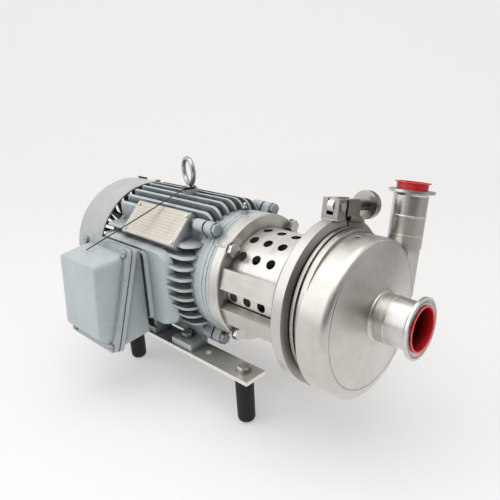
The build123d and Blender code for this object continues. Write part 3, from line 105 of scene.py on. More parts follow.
tail_curve = bpy.data.curves.new("tie_tail_line", "CURVE")
tail_curve.dimensions = "3D"
tail_curve.bevel_depth = tail_radius
tail_curve.bevel_resolution = 3
tail_curve.use_fill_caps = True
tail_spline = tail_curve.splines.new("NURBS")
tail_spline.points.add(len(tail_route) - 1)
for point, place in zip(tail_spline.points, tail_route):
    point.co = (*place, 1)
tail_spline.order_u = 3
tail_spline.use_endpoint_u = True
tail_spline.resolution_u = 16
route = bpy.data.objects.new("tie_tail_route", tail_curve)
tail_tube = bpy.data.meshes.new_from_object(route)
tail_curve.bevel_depth = 0
tail_path = [tuple(vertex.co) for vertex in bpy.data.meshes.new_from_object(route).vertices]
bpy.data.objects.remove(route)
tie_tail = bpy.data.objects.new("tie_tail_line", tail_tube)
bpy.context.scene.collection.objects.link(tie_tail)
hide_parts("tie_tail")
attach(tie_tail, "motor_and_base")
print("tie tail:", len(tail_route), "route points")

# %% [markdown]
# ## Shader helpers
#
# Every shader below is a small network of nodes. Adding a node and joining it takes four lines
# by hand, so short helpers do it: for sums, for noise, for turning one range of values into
# another, for taking a place apart and for laying one colour over another.

# %% Node helpers
bevel_samples = 4


def feed(tree, socket, value):
    """Set a socket to a number, or join another socket to it."""
    if isinstance(value, bpy.types.NodeSocket):
        tree.links.new(value, socket)
    else:
        socket.default_value = value


def calc(tree, operation, first, second=0.0):
    """One Math node."""
    node = tree.nodes.new("ShaderNodeMath")
    node.operation = operation
    feed(tree, node.inputs[0], first)
    feed(tree, node.inputs[1], second)
    return node.outputs["Value"]


def weigh(tree, share, first, second):
    """Add two values, the first by its share and the second by the rest."""
    return calc(tree, "ADD", calc(tree, "MULTIPLY", first, share),
                calc(tree, "MULTIPLY", second, 1 - share))


def diagonal(tree, first, second):
    """Length of the diagonal over two sides."""
    squares = [calc(tree, "MULTIPLY", side, side) for side in (first, second)]
    return calc(tree, "SQRT", calc(tree, "ADD", *squares))


def noise(tree, vector, scale, detail=2.0):
    """Cloudy values from 0 to 1; scale is in lumps per metre."""
    node = tree.nodes.new("ShaderNodeTexNoise")
    node.inputs["Detail"].default_value = detail
    feed(tree, node.inputs["Vector"], vector)
    feed(tree, node.inputs["Scale"], scale)
    return node.outputs[0]


def remap(tree, value, low, high, new_low=0.0, new_high=1.0):
    """Stretch one range onto another, and hold what lies outside it."""
    node = tree.nodes.new("ShaderNodeMapRange")
    node.inputs["From Min"].default_value = low
    node.inputs["From Max"].default_value = high
    feed(tree, node.inputs["To Min"], new_low)
    feed(tree, node.inputs["To Max"], new_high)
    tree.links.new(value, node.inputs["Value"])
    return node.outputs["Result"]


def from_noise(tree, value, new_low, new_high):
    """Stretch a noise, which seldom leaves its middle, onto a range of values."""
    return remap(tree, value, 0.3, 0.7, new_low, new_high)


def object_place(tree):
    """Object coordinates, in which a pattern has its real size on every part."""
    return tree.nodes.new("ShaderNodeTexCoord").outputs["Object"]


def parts_of(tree, vector):
    """The X, Y and Z of a vector."""
    node = tree.nodes.new("ShaderNodeSeparateXYZ")
    tree.links.new(vector, node.inputs[0])
    return node.outputs


def stretched(tree, *scaled):
    """A vector of three values, each times its own scale."""
    node = tree.nodes.new("ShaderNodeCombineXYZ")
    for socket, (value, scale) in zip(node.inputs, scaled):
        tree.links.new(calc(tree, "MULTIPLY", value, scale), socket)
    return node.outputs[0]


def along_way(tree, vector, way):
    """How far a vector goes in a direction."""
    node = tree.nodes.new("ShaderNodeVectorMath")
    node.operation = "DOT_PRODUCT"
    feed(tree, node.inputs[0], vector)
    feed(tree, node.inputs[1], way)
    return node.outputs["Value"]


def mix_colour(tree, share, first, second):
    """Blend two colours."""
    node = tree.nodes.new("ShaderNodeMix")
    node.data_type = "RGBA"
    feed(tree, node.inputs[0], share)
    feed(tree, node.inputs[6], first)
    feed(tree, node.inputs[7], second)
    return node.outputs[2]


def lay_over(tree, body, mask, share, colour):
    """Lay a colour over another by a mask and a share."""
    return mix_colour(tree, calc(tree, "MULTIPLY", mask, share), body, colour)


def colour_so_far(shader):
    """The socket that feeds a shader's colour now."""
    return shader.inputs["Base Color"].links[0].from_socket


def new_group(name, inputs, outputs):
    """Start a node group with named sockets of numbers: the group, its entry and its exit."""
    group = bpy.data.node_groups.new(name, "ShaderNodeTree")
    for title, start in inputs.items():
        socket = group.interface.new_socket(title, in_out="INPUT", socket_type="NodeSocketFloat")
        socket.default_value = start
    for title in outputs:
        group.interface.new_socket(title, in_out="OUTPUT", socket_type="NodeSocketFloat")
    return group, group.nodes.new("NodeGroupInput").outputs, group.nodes.new("NodeGroupOutput").inputs


def place_group(tree, group, **values):
    """Put a node group into a material with values for its inputs."""
    node = tree.nodes.new("ShaderNodeGroup")
    node.node_tree = group
    for title, value in values.items():
        feed(tree, node.inputs[title], value)
    return node.outputs

# %% [markdown]
# ## Floor and backdrop
#
# The photograph was taken on a white sweep: paper that runs from the table up the wall in one
# curve, so that no horizon shows. One strip is extruded along that profile. Its shader gives
# the camera some of its own white, more of it far from the pump, and leaves the shadow under
# the pump to the lamps.

# %% Sweep
floor_height = -0.157
sweep_half_width = 4.0
sweep_radius = 0.9
sweep_front = 3.0
sweep_back = 1.7
sweep_top = 3.2
sweep_steps = 16

profile = [(-sweep_front, 0.0), (sweep_back, 0.0)]
for step in range(1, sweep_steps + 1):
    angle = step / sweep_steps * pi / 2
    profile.append((sweep_back + sweep_radius * sin(angle), sweep_radius * (1 - cos(angle))))
profile.append((sweep_back + sweep_radius, sweep_top))

view_way = Vector((-back.x, -back.y, 0)).normalized()
side_way = Vector((-view_way.y, view_way.x, 0))
centre = Vector((-0.2, 0, floor_height))
sweep_mesh = bmesh.new()
rows = []
for reach, height in profile:
    middle = centre + view_way * reach + Vector((0, 0, height))
    rows.append([sweep_mesh.verts.new(middle + side_way * side * sweep_half_width) for side in (1, -1)])
for near, far in zip(rows, rows[1:]):
    face = sweep_mesh.faces.new((near[0], near[1], far[1], far[0]))
    face.smooth = True
mesh = bpy.data.meshes.new("white_sweep")
sweep_mesh.to_mesh(mesh)
sweep_mesh.free()
sweep = bpy.data.objects.new("white_sweep", mesh)
bpy.context.scene.collection.objects.link(sweep)

# %% Sweep paper
near_pump = 0.45
far_from_pump = 1.8
own_white_near = 0.36
own_white_far = 0.8
mirror_white = 0.9

sweep_paint = bpy.data.materials.new("sweep_paper")
sweep_paint.use_nodes = True
tree = sweep_paint.node_tree
paper = tree.nodes["Principled BSDF"]
paper.inputs["Base Color"].default_value = (0.82, 0.82, 0.82, 1)
paper.inputs["Roughness"].default_value = 0.85
glow = tree.nodes.new("ShaderNodeEmission")
glow.inputs["Color"].default_value = (0.93, 0.92, 0.91, 1)
blend = tree.nodes.new("ShaderNodeMixShader")
ray_kind = tree.nodes.new("ShaderNodeLightPath").outputs
ground = tree.nodes.new("ShaderNodeNewGeometry").outputs["Position"]
far_off = tree.nodes.new("ShaderNodeVectorMath")
far_off.operation = "LENGTH"
tree.links.new(ground, far_off.inputs[0])
own_white = remap(tree, far_off.outputs["Value"], near_pump, far_from_pump, own_white_near, own_white_far)
camera_part = calc(tree, "MULTIPLY", ray_kind["Is Camera Ray"], own_white)
mirror_part = calc(tree, "MULTIPLY", ray_kind["Is Glossy Ray"], mirror_white)
tree.links.new(calc(tree, "MAXIMUM", camera_part, mirror_part), blend.inputs["Fac"])
tree.links.new(paper.outputs["BSDF"], blend.inputs[1])
tree.links.new(glow.outputs["Emission"], blend.inputs[2])
tree.links.new(blend.outputs["Shader"], tree.nodes["Material Output"].inputs["Surface"])
sweep.data.materials.append(sweep_paint)

# %% [markdown]
# ## What the metal sees of the floor
#
# The paper is bright near the pump and falls off towards the right, where the studio's lamps
# don't reach. Only mirror rays notice: the drum's flat face shows that far floor near its top,
# which is why it is grey there and pale below.

# %% Floor brightness for mirror rays
bright_until = 0.2
dim_from = 0.8
dim_level = 0.4

fall_off = remap(tree, along_way(tree, ground, level_right), bright_until, dim_from, 1.0, dim_level)
tree.links.new(calc(tree, "MAXIMUM", ray_kind["Is Camera Ray"], fall_off), glow.inputs["Strength"])
print("sweep:", len(sweep.data.polygons), "strips")

# %% [markdown]
# ## Light
#
# Metal shows what stands around it more than it shows its own colour. A broad lamp overhead
# gives the bright tops, one from the left gives the motor its side light, and two weak ones
# stand by the camera and on the right. The world is a bright ceiling and a bright left side,
# with a dark room behind the camera: that dark room is the grey stripe down the middle of the
# upright tube. The two weak lamps are hidden from mirror rays, or they would show as white
# squares there.

# %% Lamps
bpy.context.scene.view_settings.view_transform = "Standard"
pump_middle = Vector((-0.2, 0, 0))


def area_lamp(name, place, size, power, tint=(1, 1, 1)):
    """A square soft box that looks at the pump's middle."""
    data = bpy.data.lights.new(name, "AREA")
    data.shape = "SQUARE"
    data.size = size
    data.energy = power
    data.color = tint
    lamp = bpy.data.objects.new(name, data)
    bpy.context.scene.collection.objects.link(lamp)
    lamp.location = place
    lamp.rotation_euler = (pump_middle - Vector(place)).to_track_quat("-Z", "Y").to_euler()
    return lamp


area_lamp("top_box", (-0.25, -0.1, 1.5), size=1.6, power=12, tint=(1.0, 0.985, 0.96))
area_lamp("left_box", (-1.4, -1.4, 1.1), size=1.9, power=10)
front_box = area_lamp("front_box", (0.5, -1.5, 0.7), size=1.0, power=7)
right_box = area_lamp("right_box", (1.5, -0.3, 0.5), size=1.0, power=4)
for lamp in (front_box, right_box):
    lamp.visible_glossy = False

# %% World
dark_room_way = (0.80, -0.60, 0.0)
open_air_level = 0.85
dark_room_level = 0.14
ceiling_level = 0.9

world = bpy.data.worlds.new("studio_air")
bpy.context.scene.world = world
world.use_nodes = True
sky = world.node_tree
air = sky.nodes["Background"]
ray = sky.nodes.new("ShaderNodeTexCoord").outputs["Generated"]
dark_room = remap(sky, along_way(sky, ray, dark_room_way), 0.3, 0.95, open_air_level, dark_room_level)
ceiling = remap(sky, parts_of(sky, ray)["Z"], 0.4, 0.85, 0.0, ceiling_level)
brighter = calc(sky, "MAXIMUM", dark_room, ceiling)
camera_ray = sky.nodes.new("ShaderNodeLightPath").outputs["Is Camera Ray"]
sky.links.new(calc(sky, "MAXIMUM", camera_ray, brighter), air.inputs["Strength"])
air.inputs["Color"].default_value = (0.93, 0.93, 0.93, 1)
print("lamps:", len(bpy.data.lights))

# %% [markdown]
# ## Skin of a casting or a moulding
#
# Sprayed enamel on cast iron has an orange-peel skin, and its tone drifts a little from place
# to place. Two noises with large and middling lumps give the drift, and one with small lumps
# gives the skin. All read Object coordinates, so the pattern has its real size on every part.

# %% Cast skin group
cast_skin, entry, leave = new_group("cast_skin", {"Lumps": 700.0}, ["Drift", "Grain"])
spot = object_place(cast_skin)
drift = noise(cast_skin, spot, scale=16.0, detail=3.0)
blotch = noise(cast_skin, spot, scale=110.0, detail=4.0)
grain = noise(cast_skin, spot, scale=entry["Lumps"], detail=3.0)
drift_share = 0.6
patchy = weigh(cast_skin, drift_share, drift, blotch)
cast_skin.links.new(remap(cast_skin, patchy, 0.36, 0.64), leave["Drift"])
cast_skin.links.new(grain, leave["Grain"])

# %% [markdown]
# ## Rubbed edges
#
# Corners lose their finish first. A Bevel node knows where the surface turns sharply: where its
# softened normal leaves the true one, there is an edge. A noise breaks the rim up, because
# wear is never even, and a second one picks a few spots where the paint has chipped off.

# %% Edge rub group
edge_rub, entry, leave = new_group("edge_rub", {"Reach": 0.0012, "Patch": 160.0}, ["Rub", "Chip"])
soft = edge_rub.nodes.new("ShaderNodeBevel")
soft.samples = bevel_samples
edge_rub.links.new(entry["Reach"], soft.inputs["Radius"])
true_normal = edge_rub.nodes.new("ShaderNodeNewGeometry").outputs["Normal"]
turned_away = calc(edge_rub, "SUBTRACT", 1.0, along_way(edge_rub, soft.outputs["Normal"], true_normal))
rim = remap(edge_rub, turned_away, 0.03, 0.22)
spot = object_place(edge_rub)
broken = remap(edge_rub, noise(edge_rub, spot, scale=entry["Patch"], detail=4.0), 0.42, 0.62)
edge_rub.links.new(calc(edge_rub, "MULTIPLY", rim, broken), leave["Rub"])
by_the_edge = remap(edge_rub, turned_away, 0.01, 0.05)
flake = remap(edge_rub, noise(edge_rub, spot, scale=240.0), 0.62, 0.66)
edge_rub.links.new(calc(edge_rub, "MULTIPLY", by_the_edge, flake), leave["Chip"])

# %% [markdown]
# ## Lines of a lathe and of a brushing belt
#
# A turned face carries fine circles round its axis, and a belt leaves straight lines. Both are
# a noise that is squeezed across the lines and left long along them. The first group measures
# the distance from the shaft's axis, at a height that each material gives, so the rings lie
# true on the drum, whose axis is lower than the shaft's.

# %% Line groups
lathe_lines, entry, leave = new_group("lathe_lines", {"Fineness": 1400.0, "Axis height": 0.0}, ["Line"])
spot = parts_of(lathe_lines, object_place(lathe_lines))
rise = calc(lathe_lines, "SUBTRACT", spot["Z"], entry["Axis height"])
reach = diagonal(lathe_lines, spot["Y"], rise)
turn_angle = calc(lathe_lines, "ARCTAN2", rise, spot["Y"])
marks_per_turn = 1.6
rings = stretched(lathe_lines, (spot["X"], entry["Fineness"]), (reach, entry["Fineness"]),
                  (turn_angle, marks_per_turn))
lathe_lines.links.new(noise(lathe_lines, rings, scale=1.0), leave["Line"])

belt_lines, entry, leave = new_group("belt_lines", {"Along X": 12.0, "Across": 1200.0}, ["Line"])
spot = parts_of(belt_lines, object_place(belt_lines))
pull = stretched(belt_lines, (spot["X"], entry["Along X"]), (spot["Y"], entry["Across"]),
                 (spot["Z"], entry["Across"]))
belt_lines.links.new(noise(belt_lines, pull, scale=1.0), leave["Line"])

# %% [markdown]
# ## Hair scratches and dust
#
# Handling leaves hair scratches. A noise passes through its middle value along thin winding
# lines, and a narrow band round that value draws them. Dust settles on what faces up, so its
# mask is the height of the surface's normal, broken up by noise.

# %% Scratch and dust groups
hair_scratches, entry, leave = new_group("hair_scratches", {"Lumps": 45.0, "Width": 0.006}, ["Scratch"])
spot = object_place(hair_scratches)
field = noise(hair_scratches, spot, scale=entry["Lumps"], detail=1.0)
away = calc(hair_scratches, "ABSOLUTE", calc(hair_scratches, "SUBTRACT", field, 0.5))
hair = calc(hair_scratches, "LESS_THAN", away, entry["Width"])
few = remap(hair_scratches, noise(hair_scratches, spot, scale=28.0), 0.5, 0.62)
hair_scratches.links.new(calc(hair_scratches, "MULTIPLY", hair, few), leave["Scratch"])

settled_dust, entry, leave = new_group("settled_dust", {"Amount": 0.5}, ["Dust"])
facing = settled_dust.nodes.new("ShaderNodeNewGeometry").outputs["Normal"]
level = remap(settled_dust, parts_of(settled_dust, facing)["Z"], 0.5, 0.95)
spot = object_place(settled_dust)
flecks = remap(settled_dust, noise(settled_dust, spot, scale=60.0, detail=5.0), 0.35, 0.7)
cover = calc(settled_dust, "MULTIPLY", level, flecks)
settled_dust.links.new(calc(settled_dust, "MULTIPLY", cover, entry["Amount"]), leave["Dust"])

# %% [markdown]
# ## Distance from the shaft
#
# Several colours change with the distance from the shaft: the guard's bore is painted near black as
# painted shade, and only the clamp's outer band keeps a plain steel colour. A small group measures that
# distance.

# %% Shaft distance group
shaft_distance, entry, leave = new_group("shaft_distance", {}, ["Distance"])
spot = parts_of(shaft_distance, object_place(shaft_distance))
shaft_distance.links.new(diagonal(shaft_distance, spot["Y"], spot["Z"]), leave["Distance"])

# %% [markdown]
# ## Painted shade in the corners
#
# Between the fins, in grooves and round bolt heads the colour is darkened as painted shade. An
# Ambient Occlusion node measures how open a point is, the painted shade starts below the value given as
# Open, and a noise makes it uneven.
# Open, and a noise makes it uneven.

# %% Corner shade group
painted_corner_shade, entry, leave = new_group("painted_corner_shade", {"Reach": 0.012, "Open": 0.9}, ["Dirt"])
closed_in = painted_corner_shade.nodes.new("ShaderNodeAmbientOcclusion")
closed_in.samples = 6
painted_corner_shade.links.new(entry["Reach"], closed_in.inputs["Distance"])
shut = calc(painted_corner_shade, "SUBTRACT", entry["Open"], closed_in.outputs["AO"])
shade = remap(painted_corner_shade, shut, 0.0, 0.55)
spot = object_place(painted_corner_shade)
uneven = from_noise(painted_corner_shade, noise(painted_corner_shade, spot, scale=90.0, detail=4.0), 0.7, 1.0)
painted_corner_shade.links.new(calc(painted_corner_shade, "MULTIPLY", shade, uneven), leave["Dirt"])
print("node groups:", len(bpy.data.node_groups))

# %% [markdown]
# ## Finishes
#
# Three families cover the pump. Enamel lies over cast iron and pressed sheet, bare metal is
# either worked, with its tool marks, or cast, and mouldings are plain rubber or plastic. Each
# family is a function that builds one material with its Principled shader in it, and each part
# of the pump then gets its own colour and its own values. A Bevel node rounds the light along
# sharp edges, because no real edge is perfectly sharp.
# Each family also darkens corners and grooves with painted shade, by an amount that each material gives.

# %% Material families
finishes = {}
rubbed_paint = (0.62, 0.66, 0.68, 1)
chipped_paint = (0.05, 0.048, 0.045, 1)
dust_on_paint = (0.62, 0.6, 0.57, 1)
dust_on_rubber = (0.55, 0.54, 0.52, 1)


def start_material(name, roughness, metallic, edge):
    """A new material that is kept by its name: its tree, its shader and its rounded normal."""
    material = bpy.data.materials.new(name)
    material.use_nodes = True
    finishes[name] = material
    tree = material.node_tree
    shader = tree.nodes["Principled BSDF"]
    shader.inputs["Metallic"].default_value = metallic
    shader.inputs["Roughness"].default_value = roughness
    rounded = tree.nodes.new("ShaderNodeBevel")
    rounded.samples = bevel_samples
    rounded.inputs["Radius"].default_value = edge
    return tree, shader, rounded.outputs["Normal"]


def raise_skin(tree, shader, height, normal, depth):
    """Bump a surface by a height between 0 and 1."""
    bump = tree.nodes.new("ShaderNodeBump")
    bump.inputs["Strength"].default_value = 1.0
    bump.inputs["Distance"].default_value = depth
    tree.links.new(height, bump.inputs["Height"])
    tree.links.new(normal, bump.inputs["Normal"])
    tree.links.new(bump.outputs["Normal"], shader.inputs["Normal"])


def tone(colour, factor):
    """A colour made lighter or darker."""
    return (*(min(1.0, part * factor) for part in colour), 1)


def enamel(slot, colour, roughness, lumps, depth, rub=0.6, dust=0.3, corner_shade=0.85):
    """Sprayed paint: drifting tone, orange-peel skin, painted shade in corners, rubbed and chipped edges,
    dust.
    """
    tree, shader, rounded = start_material(slot, roughness, metallic=0.0, edge=0.0008)
    skin = place_group(tree, cast_skin, Lumps=lumps)
    worn = place_group(tree, edge_rub, Reach=0.001, Patch=220.0)
    settled = place_group(tree, settled_dust, Amount=dust)["Dust"]
    # The ambient occlusion mask paints shade into corners and grooves.
    corner_shade_mask = place_group(tree, painted_corner_shade, Reach=0.035, Open=0.92)["Dirt"]
    body = mix_colour(tree, skin["Drift"], tone(colour, 0.93), tone(colour, 1.06))
    shade_in_corners = lay_over(tree, body, corner_shade_mask, corner_shade, tone(colour, 0.1))
    rubbed = lay_over(tree, shade_in_corners, worn["Rub"], rub, rubbed_paint)
    dusty = mix_colour(tree, settled, rubbed, dust_on_paint)
    tree.links.new(lay_over(tree, dusty, worn["Chip"], 0.8, chipped_paint), shader.inputs["Base Color"])
    sheen = from_noise(tree, skin["Grain"], roughness - 0.06, roughness + 0.08)
    tree.links.new(calc(tree, "ADD", sheen, calc(tree, "MULTIPLY", settled, 0.3)), shader.inputs["Roughness"])
    shader.inputs["Coat Weight"].default_value = 0.12
    shader.inputs["Coat Roughness"].default_value = 0.25
    raise_skin(tree, shader, skin["Grain"], rounded, depth)


def worked(slot, colour, roughness, lines, line_values, depth, edge=0.0005, scratch=0.25, spread=0.1,
           corner_shade=0.5, reach=0.006, line_share=0.35):
    """Metal with tool marks: lines from a group, a drift of tone, painted shade in corners, hair scratches.
    """
    tree, shader, rounded = start_material(slot, roughness, metallic=1.0, edge=edge)
    marks = place_group(tree, lines, **line_values)["Line"]
    drift = place_group(tree, cast_skin)["Drift"]
    hairs = place_group(tree, hair_scratches)["Scratch"]
    # The ambient occlusion mask paints shade into corners and grooves.
    corner_shade_mask = place_group(tree, painted_corner_shade, Reach=reach)["Dirt"]
    cloud = weigh(tree, line_share, marks, drift)
    body = mix_colour(tree, cloud, tone(colour, 0.9), tone(colour, 1.08))
    metal_shade_in_corners = lay_over(tree, body, corner_shade_mask, corner_shade, tone(colour, 0.2))
    tree.links.new(lay_over(tree, metal_shade_in_corners, hairs, scratch, tone(colour, 1.3)), shader.inputs["Base Color"])
    gloss = from_noise(tree, marks, roughness - spread, roughness + spread)
    patchy = calc(tree, "ADD", gloss, calc(tree, "MULTIPLY", drift, spread * 0.6))
    tree.links.new(patchy, shader.inputs["Roughness"])
    raise_skin(tree, shader, marks, rounded, depth)
    return tree, shader


def cast_metal(slot, colour, roughness, lumps, depth, edge=0.001, corner_shade=0.7, reach=0.01):
    """Bead-blasted casting: an even pebble, painted shade in corners, lighter along its edges."""
    tree, shader, rounded = start_material(slot, roughness, metallic=1.0, edge=edge)
    skin = place_group(tree, cast_skin, Lumps=lumps)
    rub = place_group(tree, edge_rub, Reach=0.0012, Patch=300.0)["Rub"]
    # The ambient occlusion mask paints shade into corners and grooves.
    corner_shade_mask = place_group(tree, painted_corner_shade, Reach=reach)["Dirt"]
    body = mix_colour(tree, skin["Drift"], tone(colour, 0.9), tone(colour, 1.08))
    shade_in_corners = lay_over(tree, body, corner_shade_mask, corner_shade, tone(colour, 0.15))
    tree.links.new(lay_over(tree, shade_in_corners, rub, 0.6, tone(colour, 1.35)), shader.inputs["Base Color"])
    gloss = from_noise(tree, skin["Grain"], roughness - 0.08, roughness + 0.1)
    smoothed = calc(tree, "SUBTRACT", gloss, calc(tree, "MULTIPLY", rub, 0.15))
    tree.links.new(smoothed, shader.inputs["Roughness"])
    raise_skin(tree, shader, skin["Grain"], rounded, depth)
    return tree, shader


def moulded(slot, colour, roughness, lumps, depth, dust=0.25, corner_shade=0.3, rim=None, rim_share=0.3):
    """Rubber or plastic: a plain colour with a mould's fine skin, painted shade in corners, a pale rim and
    some dust.
    """
    tree, shader, rounded = start_material(slot, roughness, metallic=0.0, edge=0.0006)
    skin = place_group(tree, cast_skin, Lumps=lumps)
    rub = place_group(tree, edge_rub, Reach=0.0008, Patch=400.0)["Rub"]
    settled = place_group(tree, settled_dust, Amount=dust)["Dust"]
    # The ambient occlusion mask paints shade into corners and grooves.
    corner_shade_mask = place_group(tree, painted_corner_shade, Reach=0.03)["Dirt"]
    body = mix_colour(tree, skin["Drift"], tone(colour, 0.88), tone(colour, 1.12))
    moulding_shade_in_corners = lay_over(tree, body, corner_shade_mask, corner_shade, tone(colour, 0.06))
    # For the red plug this pale rim is a painted highlight.
    rubbed = lay_over(tree, moulding_shade_in_corners, rub, rim_share, rim or tone(colour, 1.8))
    tree.links.new(mix_colour(tree, settled, rubbed, dust_on_rubber), shader.inputs["Base Color"])
    gloss = from_noise(tree, skin["Grain"], roughness - 0.05, roughness + 0.08)
    tree.links.new(gloss, shader.inputs["Roughness"])
    raise_skin(tree, shader, skin["Grain"], rounded, depth)
    return tree, shader

# %% [markdown]
# ## Motor finishes
#
# The motor is sprayed light blue-grey all over, bolts and all. The frame's sand casting shows
# through as a coarse skin, while the pressed fan cover is smoother and greyer.

# %% Motor materials
steel_blue = (0.4, 0.45, 0.47)
cover_grey = (0.39, 0.4, 0.395)
bolt_blue = (0.33, 0.38, 0.41)
enamel("motor_paint", steel_blue, roughness=0.32, lumps=620.0, depth=0.0004, corner_shade=1.0)
enamel("fan_cover_paint", cover_grey, roughness=0.34, lumps=380.0, depth=0.00008)
enamel("motor_bolt_steel", bolt_blue, roughness=0.32, lumps=900.0, depth=0.0001, rub=0.9, dust=0.15)
moulded("fan_plastic", (0.025, 0.026, 0.028), roughness=0.45, lumps=800.0, depth=0.00008)
cast_metal("rotor_aluminium", (0.72, 0.73, 0.74), roughness=0.42, lumps=900.0, depth=0.00008)
worked("bearing_steel", (0.62, 0.62, 0.63), 0.16, lathe_lines, {"Fineness": 2200.0}, depth=0.00001)
worked("shaft_steel", (0.56, 0.56, 0.57), 0.26, lathe_lines, {"Fineness": 1500.0}, depth=0.00002)
moulded("black_gasket", (0.018, 0.018, 0.019), roughness=0.6, lumps=900.0, depth=0.0001)
moulded("phenolic", (0.06, 0.028, 0.018), roughness=0.4, lumps=600.0, depth=0.00005)
moulded("black_nylon", (0.012, 0.012, 0.013), roughness=0.32, lumps=1200.0, depth=0.00004)
cast_metal("eyebolt_steel", (0.46, 0.465, 0.47), roughness=0.3, lumps=700.0, depth=0.00012)
worked("zinc_steel", (0.66, 0.66, 0.62), 0.3, belt_lines, {"Along X": 40.0, "Across": 500.0}, depth=0.00002)

# %% [markdown]
# ## Laminations and windings
#
# Inside the motor the stator is a stack of half-millimetre sheets, and its end turns are
# varnished copper wire. A wave along the shaft draws the edges of the sheets, and a slanting
# wave draws the wires of the bundle.

# %% Stack and copper
def banded(slot, direction, scale, colour, gap_colour, roughness, metallic, depth):
    """A material with fine parallel bands along one object axis."""
    tree, shader, rounded = start_material(slot, roughness, metallic, edge=0.0004)
    wave = tree.nodes.new("ShaderNodeTexWave")
    wave.wave_type = "BANDS"
    wave.bands_direction = direction
    wave.inputs["Scale"].default_value = scale
    wave.inputs["Distortion"].default_value = 0.8
    wave.inputs["Detail"].default_value = 1.0
    wave.inputs["Detail Scale"].default_value = 40.0
    tree.links.new(object_place(tree), wave.inputs["Vector"])
    bands = wave.outputs["Fac"]
    drift = place_group(tree, cast_skin)["Drift"]
    shaded = mix_colour(tree, drift, tone(colour, 0.85), tone(colour, 1.15))
    gaps = remap(tree, bands, 0.1, 0.5)
    tree.links.new(mix_colour(tree, gaps, (*gap_colour, 1), shaded), shader.inputs["Base Color"])
    raise_skin(tree, shader, bands, rounded, depth)


banded("lamination_steel", "X", 640.0, colour=(0.42, 0.42, 0.43), gap_colour=(0.08, 0.075, 0.07),
       roughness=0.38, metallic=1.0, depth=0.0001)
banded("copper_winding", "DIAGONAL", 260.0, colour=(0.72, 0.27, 0.1), gap_colour=(0.18, 0.06, 0.03),
       roughness=0.35, metallic=0.9, depth=0.0004)

# %% [markdown]
# ## Stainless finishes
#
# The pump end is stainless steel in several finishes. The drum and tubes are satin, with the
# fine circles of a polishing lathe. The ferrules are brighter, the adapter is a bead-blasted
# casting, the guard is rolled sheet, the rails are brushed bar, and the clamp is an
# investment casting, coloured a dark brown that is painted shade on faces turned from the light.

# %% Stainless materials
steel_warm = (0.63, 0.605, 0.57)
steel_blasted = (0.68, 0.66, 0.62)
# The dark brown below is painted shade for the clamp and its knob, on faces turned from the light.
shaded_steel_brown = (0.36, 0.33, 0.305)
drum_drop = -0.008
worked("satin_stainless", steel_warm, 0.34, lathe_lines, {"Fineness": 1500.0, "Axis height": drum_drop},
       depth=0.000004, edge=0.0008, spread=0.04, line_share=0.12, corner_shade=1.0, reach=0.008)
worked("ferrule_stainless", (0.64, 0.63, 0.61), 0.26, lathe_lines, {"Fineness": 1900.0},
       depth=0.000003, edge=0.0002, spread=0.02, line_share=0.15, corner_shade=1.0, reach=0.004)
cast_metal("cast_stainless", steel_blasted, roughness=0.4, lumps=700.0, depth=0.0004, edge=0.0007, corner_shade=1.0)
guard_tree, guard_shader = worked("stainless_sheet", (0.68, 0.66, 0.63), 0.28, lathe_lines,
                                  {"Fineness": 900.0}, depth=0.00001, line_share=0.2)
worked("polished_stainless", (0.66, 0.65, 0.63), 0.14, lathe_lines, {"Fineness": 2400.0}, depth=0.000006)
worked("impeller_stainless", (0.6, 0.585, 0.56), 0.3, lathe_lines, {"Fineness": 1000.0}, depth=0.00003)
bolt_tree, bolt_shader = worked("stainless_bolt", (0.62, 0.605, 0.58), 0.26, lathe_lines,
                                {"Fineness": 1400.0}, depth=0.00001, corner_shade=1.0)
worked("stainless_rail", (0.82, 0.8, 0.76), 0.42, belt_lines, {},
       depth=0.00002, edge=0.0006, corner_shade=1.0, reach=0.012)
worked("spring_steel", (0.5, 0.49, 0.48), 0.25, belt_lines, {"Along X": 900.0}, depth=0.00001)
clamp_tree, clamp_shader = cast_metal("clamp_steel", shaded_steel_brown, roughness=0.34, lumps=1200.0, depth=0.00007)
worked("clamp_pin_steel", (0.6, 0.585, 0.57), 0.22, lathe_lines, {"Fineness": 1500.0}, depth=0.00001)
cast_metal("knob_steel", shaded_steel_brown, roughness=0.18, lumps=1400.0, depth=0.00003, edge=0.0004)

# %% [markdown]
# ## Light band, shaded bore
#
# The clamp's outer band, which faces the light, keeps a plain steel colour, while its flanks and lugs keep
# the dark brown of painted shade. The guard's bore is painted near black as painted shade, so that its
# holes look into shade. Both are the finish above with one more colour, chosen by the distance from the
# shaft.

# %% Colours by distance from the shaft
def in_span(tree, low, high):
    """Mask of the points whose distance from the shaft lies in a span."""
    distance = place_group(tree, shaft_distance)["Distance"]
    return calc(tree, "MULTIPLY", calc(tree, "GREATER_THAN", distance, low),
                calc(tree, "LESS_THAN", distance, high))


def by_distance(tree, shader, low, high, colour):
    """Lay a second colour over a finish where the distance from the shaft lies in a span."""
    layered = mix_colour(tree, in_span(tree, low, high), colour_so_far(shader), (*colour, 1))
    tree.links.new(layered, shader.inputs["Base Color"])


# The clamp's outer band, which faces the light, keeps a plain steel colour over the painted shade of its
# brown.
by_distance(clamp_tree, clamp_shader, low=0.0934, high=0.0940, colour=(0.6, 0.585, 0.56))
# The guard's bore is near black as painted shade.
by_distance(guard_tree, guard_shader, low=0.0, high=0.0628, colour=(0.02, 0.018, 0.016))

# %% [markdown]
# ## Screws under paint
#
# The screws of the adapter run so close under the rim that a sliver of each shank shows. There
# it was painted over with the motor, and blasted with the casting further forward, so a shank
# takes the colour of what it runs through.

# %% Shank colours
head_plane = -0.2066
bell_plane = -0.2167
sliver_low = 0.0778
sliver_high = 0.0815

